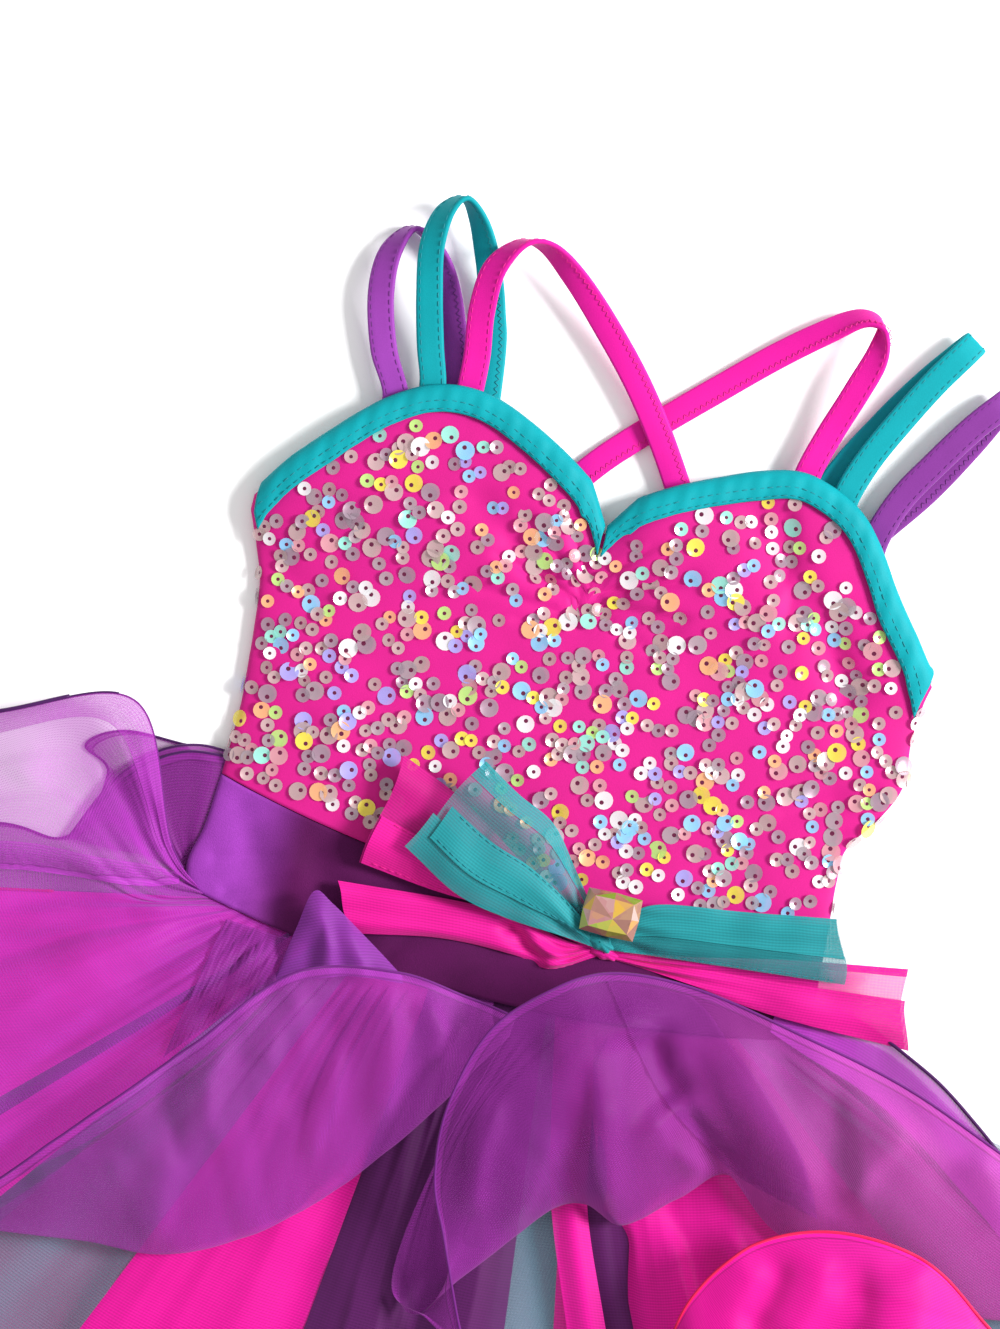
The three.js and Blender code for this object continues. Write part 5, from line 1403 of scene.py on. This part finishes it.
# rows from the knot outwards: upper edge x y, lower edge x y, height, puff
# bands: cloth, the part of the width it covers, how far it lies above the first one, and the share of
# the length it reaches; the stitched band is the last one where no other is given
bowRows = {
    "bow_pink_upper_left": {
        "slot": "pink_net",
        "rows": [(29, -9, 31, -13, 8.3, 0.4), (2, 9, 0, -8, 9.3, 3), (-24, 26, -30, -6, 10.6, 4),
                 (-49.2, 36.8, -54, -3, 12.4, 4)],
        "bands": [("ribbonPaintedShade", 0.0, 1.0, 0.0, 1.0), ("ribbonPink", 0.55, 1.0, 0.7, 0.99)],
    },
    "bow_pink_lower_left": {
        "slot": "pink_net",
        "rows": [(31, -12, 34, -14.5, 7.9, 0.3), (20, -12, 18.4, -23.2, 8.1, 2),
                 (1.7, -8.2, 5, -21.5, 8.3, 3), (-20, -8, -21, -21.9, 8.6, 3),
                 (-61.8, -11, -50.5, -27.4, 10.2, 2.5)],
        "bands": [("ribbonPink", 0.0, 1.0, 0.0, 1.0), ("ribbonPink", 0.62, 1.0, -0.5, 1.0)],
    },
    "bow_pink_right": {
        "slot": "pink_net",
        "rows": [(36, -12, 36, -14.5, 8.0, 0.3), (66, -7, 66, -16.5, 8.2, 1.2), (98, 0, 96, -20, 8.8, 2),
                 (137.9, 7, 143.3, -20.5, 9.9, 2)],
        "bands": [("ribbonPinkThin", 0.0, 1.0, 0.0, 1.0), ("ribbonPink", 0.4, 1.0, 0.5, 1.01),
                  ("ribbonPink", 0.0, 0.1, 0.4, 1.0)],
        "stitched": 1,
    },
    "bow_teal_left": {
        "slot": "teal_net",
        "rows": [(31, -4, 31, -12, 11.2, 0.4), (19, 12, 17, -10.5, 13.3, 2), (7.2, 26.3, -2, -9, 15.8, 3),
                 (-7, 33.5, -20, -5, 17.6, 3), (-20.5, 41.8, -40.4, 5.8, 19.4, 2)],
        "bands": [("ribbonTealThin", 0.0, 1.0, 0.0, 1.0), ("ribbonTealSoft", 0.0, 0.16, 0.5, 1.0),
                  ("ribbonTealSoft", 0.62, 1.0, 0.5, 1.02), ("ribbonTeal", 0.46, 0.8, 1.3, 0.97)],
    },
    "bow_teal_right": {
        "slot": "teal_net",
        "rows": [(36, -5, 34, -12, 9.9, 0.4), (47, 7, 52, -10, 10.6, 1.2), (78, 12.5, 86, -6.5, 12.2, 2),
                 (111.6, 18.1, 118.1, -3.4, 13.8, 2)],
        "bands": [("ribbonTealThin", 0.0, 1.0, 0.0, 1.0), ("ribbonTeal", 0.0, 0.6, 0.9, 0.995),
                  ("ribbonTealThin", 0.55, 1.0, 0.4, 1.0)],
    },
}


ribbonShape = {
    "columns": 90, "rows": 60, "leastRows": 9, "curl": 0.35, "pleats": 2.7, "drift": 0.7, "flat": 0.85,
    "bend": 1.2, "crumple": 0.6, "wave": 22,
}


def ribbonGrid(ribbon, seed, start, end, lift, reach):
    shape = ribbonShape
    rows = max(shape["leastRows"], int(shape["rows"] * (end - start)))
    s, t = tableGrid(np.linspace(0, reach, shape["columns"]), np.linspace(start, end, rows))
    upX, upY, lowX, lowY, z, puff = alongRows(np.array(ribbon["rows"], float), s[:, 0]).T
    curl = puff[:, None] * (np.sin(math.pi * t) + shape["curl"] * np.sin(3 * math.pi * t) * s)
    phase = shape["pleats"] * t + shape["drift"] * wander(s * 1.6 + seed, seed, 1.0) + 0.15 * seed
    pleat = np.sin(2 * math.pi * phase) * (1 - shape["flat"] * ease(s * 1.5)) * ease(s * 6)
    x = mix(upX[:, None], lowX[:, None], t)
    y = mix(upY[:, None], lowY[:, None], t)
    bend = shape["bend"] * np.sin(t * 5 + seed) * ease((s - 0.7) * 3)
    uneven = shape["crumple"] * crumple(x, y, seed, shape["wave"]) * ease(s * 4)
    z = z[:, None] + curl + pleat + uneven + lift * ease(s * 5)
    if ribbon["slot"] == "pink_net":
        z = z + folds(x, y, bowFolds)
    return np.stack([x - bend, y, z], axis=-1)


ribbonLines = []


def makeRibbon(name, ribbon, seed):
    parts = []
    grids = []
    for ink, start, end, lift, reach in ribbon["bands"]:
        grids.append(ribbonGrid(ribbon, seed, start, end, lift, reach))
        parts.append(thinSheet(camel(name), grids[-1], cloths[ink]))
    joinInto(parts[0], parts[1:])
    keepLayer(parts[0], grids[0], name)
    top = grids[ribbon.get("stitched", -1)]
    for at in (0.06, 0.92):
        k = int(at * (top.shape[1] - 1))
        normals = gridNormals(top)[9:-2, k]
        ribbonLines.append((ribbon["slot"].split("_")[0], top[9:-2, k] + normals * 0.15, normals))


for k, (name, ribbon) in enumerate(bowRows.items()):
    makeRibbon(name, ribbon, 60 + k)


# where the loops are pinched below the stone: middle x y z, half sizes, turn in degrees
pinches = {"tealPinch": (32.5, -9.6, 9.6, 5.6, 2.9, 3.4, -20),
           "pinkPinch": (35.0, -13.2, 7.8, 5.2, 2.3, 2.4, -6)}
knot = {"x": 34.5, "y": -2.5, "halfX": 6.5, "halfY": 4.5, "low": 7.6, "height": 6.2}


def makeKnot():
    # the band of ribbon wound round the middle of the bow, gathered in soft pleats
    around, up = 72, 24
    turn, rise = tableGrid(np.linspace(0, 2 * math.pi, around + 1)[:-1], np.linspace(0, 1, up))
    swell = np.sin(math.pi * (0.06 + 0.88 * rise)) ** 0.5 * (1 + 0.05 * np.sin(9 * turn))
    x = knot["x"] + knot["halfX"] * swell * np.cos(turn)
    y = knot["y"] + knot["halfY"] * swell * np.sin(turn)
    points = np.stack([x, y, knot["low"] + knot["height"] * rise], axis=-1)
    index = np.arange(around * up).reshape(around, up)
    ahead = np.roll(index, -1, axis=0)
    squares = np.stack([index[:, :-1], ahead[:, :-1], ahead[:, 1:], index[:, 1:]], axis=-1)
    faces = [tuple(square) for square in squares.reshape(-1, 4)]
    faces += [tuple(index[::-1, 0]), tuple(index[:, -1])]
    piece = keepMesh("knot", points.reshape(-1, 3), faces, cloths["ribbonPink"], np.zeros((around * up, 2)))
    keepPiece(piece, "bow_knot")
    for key, ink in (("tealPinch", "ribbonTeal"), ("pinkPinch", "ribbonPink")):
        x, y, z, halfX, halfY, halfZ, way = pinches[key]
        s, t = tableGrid(np.linspace(0, 1, 49), np.linspace(0.02, 0.98, 25))
        pleat = 1 + 0.09 * np.sin(2 * math.pi * s * 7)
        outX = halfX * np.sin(math.pi * t) * np.cos(2 * math.pi * s) * pleat
        outY = halfY * np.sin(math.pi * t) * np.sin(2 * math.pi * s) * pleat
        turn = math.radians(way)
        atX = x + outX * math.cos(turn) - outY * math.sin(turn)
        atY = y + outX * math.sin(turn) + outY * math.cos(turn)
        grid = np.stack([atX, atY, z - halfZ * np.cos(math.pi * t)], axis=-1)
        joinInto(piece, [thinSheet(key, grid, cloths[ink])])


makeKnot()
print("stage: bow")

stoneSize = {"x": 33.8, "y": 0.8, "z": 14.2, "width": 20.0, "depth": 15.5, "height": 6.0, "table": 0.72}
# which tint each facet of the table has, as its painted reflection, from its lower left corner round, then
# the crown's
facetReflectionTints = [0.50, 0.58, 0.02, 0.18, 0.70, 0.86, 0.14, 0.80]


def makeStone():
    w, d, h = stoneSize["width"] / 2, stoneSize["depth"] / 2, stoneSize["height"]
    rings = [(0.6, 0.0), (1.0, h * 0.34), (1.0, h * 0.46), (stoneSize["table"], h * 0.9)]
    corners = []
    for scale, up in rings:
        for a, b in ((-1, -1), (0, -1), (1, -1), (1, 0), (1, 1), (0, 1), (-1, 1), (-1, 0)):
            cut = 0.95 if a and b else 1.0
            corners.append((a * w * scale * cut, b * d * scale * cut, up))
    top = len(corners)
    corners.append((0.8, -1.2, h))
    faces = []
    tints = []
    for r in range(3):
        for c in range(8):
            n = (c + 1) % 8
            low, high = r * 8, (r + 1) * 8
            if (c + r) % 2:
                faces += [(low + c, low + n, high + n), (low + c, high + n, high + c)]
            else:
                faces += [(low + c, low + n, high + c), (low + n, high + n, high + c)]
            tints += [(0.17 * c + 0.31 * r) % 0.46, (0.23 * c + 0.11 * r + 0.05) % 1.0]
    faces += [(24 + c, 24 + (c + 1) % 8, top) for c in range(8)]
    tints += facetReflectionTints
    faces.append(tuple(range(8))[::-1])
    tints.append(0.1)
    placed = [(stoneSize["x"] + x, stoneSize["y"] + y, stoneSize["z"] + z) for x, y, z in corners]
    stone = keepMesh("cutStone", placed, faces, makeStoneMaterial(), smooth=False)
    tint = stone.data.attributes.new("tint", "FLOAT", "FACE")
    tint.data.foreach_set("value", tints)
    return stone


# the tints of the film behind the stone, painted facet by facet as its reflections, and where each one starts
stoneFilmReflections = [
    (0.0, (0.20, 0.085, 0.06)), (0.16, (0.34, 0.15, 0.12)), (0.30, (0.42, 0.24, 0.12)),
    (0.44, (0.22, 0.36, 0.03)), (0.56, (0.42, 0.40, 0.05)), (0.66, (0.62, 0.36, 0.03)),
    (0.80, (0.42, 0.16, 0.17)), (0.92, (0.55, 0.40, 0.36)),
]
glintLook = {"scale": 320.0, "facet": 0.92, "glint": 0.08}  # how much the facet and the glint say of the tint
stoneLook = {"Roughness": 0.06, "Metallic": 0.35, "Coat Weight": 1.0, "Coat Roughness": 0.02}


def makeStoneMaterial():
    # cut crystal with a coloured film behind it: each facet has its own painted reflection colour, with small
    # painted glints
    material, tree, surface = newMaterial("cutStone")
    tint = node(tree, "ShaderNodeAttribute", attribute_name="tint")
    place = node(tree, "ShaderNodeTexCoord")
    glints = node(tree, "ShaderNodeTexVoronoi", feature="F1")
    setInputs(glints, {"Scale": glintLook["scale"]})
    link(tree, place.outputs["Object"], glints.inputs["Vector"])
    spread = node(tree, "ShaderNodeSeparateColor")
    link(tree, glints.outputs["Color"], spread.inputs[0])
    ofFacet = maths(tree, "MULTIPLY", tint.outputs["Fac"], glintLook["facet"])
    ofGlint = maths(tree, "MULTIPLY", spread.outputs[0], glintLook["glint"])
    film = node(tree, "ShaderNodeValToRGB")
    fillRamp(film.color_ramp, stoneFilmReflections)
    link(tree, maths(tree, "ADD", ofFacet, ofGlint), film.inputs["Fac"])
    link(tree, film.outputs["Color"], surface.inputs["Base Color"])
    setInputs(surface, stoneLook)
    return material


keepPiece(makeStone(), "stone")
print("stage: stone")

sequins = {
    "small": 2.4, "smallHole": 0.66, "large": 3.2, "largeHole": 0.78, "aside": 1.1,
    "picks": (0, 6),
     # the shapes are counted round, so the third, which is the large one, comes up twice in seven
    "sizes": (0.93, 1.07), "perSquareMetre": 39000.0, "spacing": 0.0031, "tilt": 0.24, "seed": 3,
    "tintSeed": 5,
    "lift": 0.5,
    # how far they stay from the upper edge, both straight and upwards, from the stone and from the waist
    "fromEdge": 9.6, "fromTop": 7, "fromStone": 13, "stoneTall": 1.4, "fromWaist": 0.03,
}


def sequinShape(name, radius, hole, aside):
    # a cupped disc, and a dark disc in its small hole: the thread, with painted shadow
    rings = [(hole, 0.0, aside), (radius * 0.62, 0.10, aside * 0.3), (radius, 0.34, 0.0)]
    sides = 16
    points = []
    for r, up, shift in rings:
        for k in range(sides):
            turn = 2 * math.pi * k / sides
            points.append((r * math.cos(turn) + shift, r * math.sin(turn), up))
    faces = []
    for r in range(2):
        for k in range(sides):
            n = (k + 1) % sides
            faces.append((r * sides + k, (r + 1) * sides + k, (r + 1) * sides + n, r * sides + n))
    first = len(points)
    points += [(hole * math.cos(2 * math.pi * k / 8) + aside, hole * math.sin(2 * math.pi * k / 8),
                -0.04) for k in range(8)]
    faces.append(tuple(range(first, first + 8)))
    return keepMesh(name, points, faces, sequinMaterial, None, {"hole": [0.0] * first + [1.0] * 8})


def geometryTree(name, *values):
    # a node tree that takes a mesh and some values and gives a mesh: the tree, its sockets and both ends
    tree = bpy.data.node_groups.new(name, "GeometryNodeTree")
    sockets = {}
    for label, kind in (("Geometry", "Geometry"), *values):
        made = tree.interface.new_socket(label, in_out="INPUT", socket_type="NodeSocket" + kind)
        sockets[label] = made.identifier
    tree.interface.new_socket("Geometry", in_out="OUTPUT", socket_type="NodeSocketGeometry")
    return tree, sockets, node(tree, "NodeGroupInput"), node(tree, "NodeGroupOutput")


def makeReal(tree, placed, result):
    # the placed shapes become one plain mesh; gives the input for its material
    real = node(tree, "GeometryNodeRealizeInstances")
    paint = node(tree, "GeometryNodeSetMaterial")
    link(tree, placed, real.inputs["Geometry"])
    link(tree, real.outputs["Geometry"], paint.inputs["Geometry"])
    link(tree, paint.outputs["Geometry"], result.inputs["Geometry"])
    return paint.inputs["Material"]


def scatterTree(name, shapes, material):
    # places the shapes on a surface: spaced apart, each turned and tipped another way
    tree, sockets, given, result = geometryTree(name, ("Density", "Float"), ("Spacing", "Float"),
                                                ("Tilt", "Float"), ("Seed", "Int"))
    spots = node(tree, "GeometryNodeDistributePointsOnFaces", distribute_method="POISSON")
    clear = node(tree, "GeometryNodeInputNamedAttribute", data_type="FLOAT")
    clear.inputs["Name"].default_value = "clear"
    link(tree, given.outputs["Geometry"], spots.inputs["Mesh"])
    link(tree, given.outputs["Density"], spots.inputs["Density Max"])
    link(tree, given.outputs["Spacing"], spots.inputs["Distance Min"])
    link(tree, given.outputs["Seed"], spots.inputs["Seed"])
    link(tree, clear.outputs["Attribute"], spots.inputs["Density Factor"])
    both = node(tree, "GeometryNodeJoinGeometry")
    for shape in reversed(shapes):
        info = node(tree, "GeometryNodeObjectInfo")
        info.inputs["Object"].default_value = shape
        info.inputs["As Instance"].default_value = True
        link(tree, info.outputs["Geometry"], both.inputs["Geometry"])
    place = node(tree, "GeometryNodeInstanceOnPoints")
    place.inputs["Pick Instance"].default_value = True
    pick = node(tree, "FunctionNodeRandomValue", data_type="INT")
    pick.inputs[4].default_value, pick.inputs[5].default_value = sequins["picks"]
    link(tree, given.outputs["Seed"], pick.inputs["Seed"])
    link(tree, pick.outputs[2], place.inputs["Instance Index"])
    link(tree, both.outputs["Geometry"], place.inputs["Instance"])
    link(tree, spots.outputs["Points"], place.inputs["Points"])
    tips = node(tree, "FunctionNodeRandomValue", data_type="FLOAT_VECTOR")
    high = node(tree, "ShaderNodeCombineXYZ")
    low = node(tree, "ShaderNodeCombineXYZ")
    negative = maths(tree, "MULTIPLY", given.outputs["Tilt"], -1.0)
    for axis in (0, 1):
        link(tree, given.outputs["Tilt"], high.inputs[axis])
        link(tree, negative, low.inputs[axis])
    high.inputs[2].default_value = 6.28
    link(tree, low.outputs[0], tips.inputs[0])
    link(tree, high.outputs[0], tips.inputs[1])
    turned = node(tree, "FunctionNodeRotateRotation", rotation_space="LOCAL")
    toTurn = node(tree, "FunctionNodeEulerToRotation")
    link(tree, tips.outputs[0], toTurn.inputs[0])
    link(tree, spots.outputs["Rotation"], turned.inputs[0])
    link(tree, toTurn.outputs[0], turned.inputs[1])
    link(tree, turned.outputs[0], place.inputs["Rotation"])
    sizes = node(tree, "FunctionNodeRandomValue", data_type="FLOAT")
    sizes.inputs[2].default_value, sizes.inputs[3].default_value = sequins["sizes"]
    link(tree, sizes.outputs[1], place.inputs["Scale"])
    tints = node(tree, "FunctionNodeRandomValue", data_type="FLOAT")
    tints.inputs["Seed"].default_value = sequins["tintSeed"]
    keep = node(tree, "GeometryNodeStoreNamedAttribute", data_type="FLOAT", domain="INSTANCE")
    keep.inputs["Name"].default_value = "tint"
    link(tree, place.outputs["Instances"], keep.inputs["Geometry"])
    link(tree, tints.outputs[1], keep.inputs["Value"])
    makeReal(tree, keep.outputs["Geometry"], result).default_value = material
    return tree, sockets


def growMesh(name, source, tree, sockets, values):
    # runs a node tree on the source and keeps the result as a plain mesh
    modifier = source.modifiers.new(name, "NODES")
    modifier.node_group = tree
    for label, value in values.items():
        modifier[sockets[label]] = value
    graph = bpy.context.evaluated_depsgraph_get()
    graph.update()
    mesh = bpy.data.meshes.new_from_object(source.evaluated_get(graph))
    source.modifiers.remove(modifier)
    grown = bpy.data.objects.new(name, mesh)
    bpy.context.collection.objects.link(grown)
    mesh.name = name
    return grown


def throwAway(things):
    for thing in things:
        mesh = thing.data
        bpy.data.objects.remove(thing)
        bpy.data.meshes.remove(mesh)


def makeSequins():
    outer = frontGrid + frontNormals * (stretchWall / 2 + sequins["lift"])
    step = frontGrid[:, -1:, :] - frontGrid
    toTop = np.hypot(step[..., 0], step[..., 1])
    topLine = frontGrid[:, -1]
    edgeAway = np.min(np.linalg.norm(outer[:, :, None, :2] - topLine[None, None, ::6, :2], axis=-1), axis=-1)
    knotAway = np.hypot(outer[..., 0] - stoneSize["x"], (outer[...,
        1] - stoneSize["y"]) * sequins["stoneTall"])
    clear = (edgeAway > sequins["fromEdge"]) & (toTop > sequins["fromTop"])
    clear = clear & (knotAway > sequins["fromStone"]) & (frontV > sequins["fromWaist"])
    source = keepMesh("sequinGround", outer.reshape(-1, 3), gridFaces(*outer.shape[:2]), sequinMaterial, None,
                      {"clear": clear.astype(float).ravel()})
    small = sequinShape("sequinSmall", sequins["small"], sequins["smallHole"], 0.0)
    large = sequinShape("sequinLarge", sequins["large"], sequins["largeHole"], sequins["aside"])
    tree, sockets = scatterTree("sequinScatter", [small, small, large], sequinMaterial)
    values = {"Density": sequins["perSquareMetre"], "Spacing": sequins["spacing"], "Tilt": sequins["tilt"],
              "Seed": sequins["seed"]}
    grown = growMesh("sequins", source, tree, sockets, values)
    throwAway([source, small, large])
    return grown


sequinPiece = makeSequins()
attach(sequinPiece, "root")
print("stage: sequins", len(sequinPiece.data.polygons))

stitches = {
    "length": 2.3, "radius": 0.16, "pitch": 3.0, "inset": 1.5,
    "zigzagPitch": 1.15, "zigzagAlong": 0.62, "zigzagAcross": 0.78,
}


def stitchShape():
    sides, half, radius = 6, stitches["length"] / 2, stitches["radius"]
    places = [(-half, 0.02, -0.15), (-half * 0.6, radius, 0.02), (half * 0.6, radius, 0.02),
              (half, 0.02, -0.15)]
    points = []
    for x, r, up in places:
        for k in range(sides):
            turn = 2 * math.pi * k / sides
            points.append((x, r * math.cos(turn), r * math.sin(turn) + up))
    faces = tubeFaces(len(places), sides)
    return keepMesh("stitch", points, [f[::-1] for f in faces], threads["teal"])


def stitchTree(shape):
    # one stitch at each point, turned along the seam and up from the cloth
    tree, sockets, given, result = geometryTree("stitching", ("Thread", "Material"))
    info = node(tree, "GeometryNodeObjectInfo")
    info.inputs["Object"].default_value = shape
    place = node(tree, "GeometryNodeInstanceOnPoints")
    link(tree, given.outputs["Geometry"], place.inputs["Points"])
    link(tree, info.outputs["Geometry"], place.inputs["Instance"])
    turns = []
    for name in ("along", "face"):
        read = node(tree, "GeometryNodeInputNamedAttribute", data_type="FLOAT_VECTOR")
        read.inputs["Name"].default_value = name
        turns.append(read.outputs["Attribute"])
    first = node(tree, "FunctionNodeAlignRotationToVector", axis="X")
    second = node(tree, "FunctionNodeAlignRotationToVector", axis="Z", pivot_axis="X")
    link(tree, turns[0], first.inputs["Vector"])
    link(tree, first.outputs[0], second.inputs["Rotation"])
    link(tree, turns[1], second.inputs["Vector"])
    link(tree, second.outputs[0], place.inputs["Rotation"])
    link(tree, given.outputs["Thread"], makeReal(tree, place.outputs["Instances"], result))
    return tree, sockets


def alongLine(points, faces, pitch):
    # evenly spaced places on a line: position, direction and the cloth's face there
    length = np.concatenate([[0], np.cumsum(np.linalg.norm(np.diff(points, axis=0), axis=1))])
    wanted = np.arange(pitch, length[-1] - pitch / 2, pitch)
    at = np.stack([np.interp(wanted, length, points[:, k]) for k in range(3)], axis=-1)
    ahead = np.stack([np.interp(wanted + 0.4, length, points[:, k]) for k in range(3)], axis=-1)
    face = np.stack([np.interp(wanted, length, faces[:, k]) for k in range(3)], axis=-1)
    along = ahead - at
    return at, along / np.linalg.norm(along, axis=1, keepdims=True), face / np.linalg.norm(face, axis=1,
        keepdims=True)


def sewLines(name, lines, thread, tree, sockets):
    at = np.concatenate([line[0] for line in lines])
    source = keepMesh(name + "_places", at, [], thread)
    for key, k in (("along", 1), ("face", 2)):
        column = np.concatenate([line[k] for line in lines])
        attribute = source.data.attributes.new(key, "FLOAT_VECTOR", "POINT")
        attribute.data.foreach_set("vector", column.astype(np.float32).ravel())
    grown = growMesh(name, source, tree, sockets, {"Thread": thread})
    throwAway([source])
    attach(grown, "root")
    return grown


def zigzagLine(middle, along, face, width):
    # the zigzag that holds the strap's folded edges down, on its inner face
    side = np.cross(face, along)
    swing = np.where(np.arange(len(middle)) % 2 == 0, 1.0, -1.0)[:, None]
    way = along * stitches["zigzagAlong"] + side * swing * stitches["zigzagAcross"]
    return middle + side * width, way / np.linalg.norm(way, axis=1, keepdims=True), face


def makeStitches():
    shape = stitchShape()
    tree, sockets = stitchTree(shape)
    kinds = {"teal": [], "purple": [], "pink": []}
    for us in (leftUs, rightUs):
        for share in (0.5, 0.88):
            points, normals = onFront(us, bindingSize["width"] * share)
            off = stretchWall / 2 + seamGap + bindingSize["ease"] + tapeWall + 0.5 + stitches["radius"] * 0.3
            kinds["teal"].append(alongLine(points + normals * off, normals, stitches["pitch"]))
    for name, (middle, width, face) in strapLines.items():
        thread = strapRows[name]["thread"]
        half = strapSize["width"] / 2 - stitches["inset"]
        for side in (-1, 1):
            outer = middle + width * side * half + face * (strapSize["wall"] / 2 + 0.02)
            kinds[thread].append(alongLine(outer, face, stitches["pitch"]))
        inner = middle - face * (strapSize["wall"] / 2 + 0.02)
        at, along, up = alongLine(inner, -face, stitches["zigzagPitch"])
        kinds[thread].append(zigzagLine(at, along, up, half - 0.6))
    for thread, points, normals in ribbonLines:
        kinds[thread].append(alongLine(points, normals * np.sign(normals[:, 2:]), stitches["pitch"]))
    for thread, lines in kinds.items():
        sewLines(thread + "Stitches", lines, threads[thread], tree, sockets)
    throwAway([shape])


makeStitches()
print("stage: stitches")
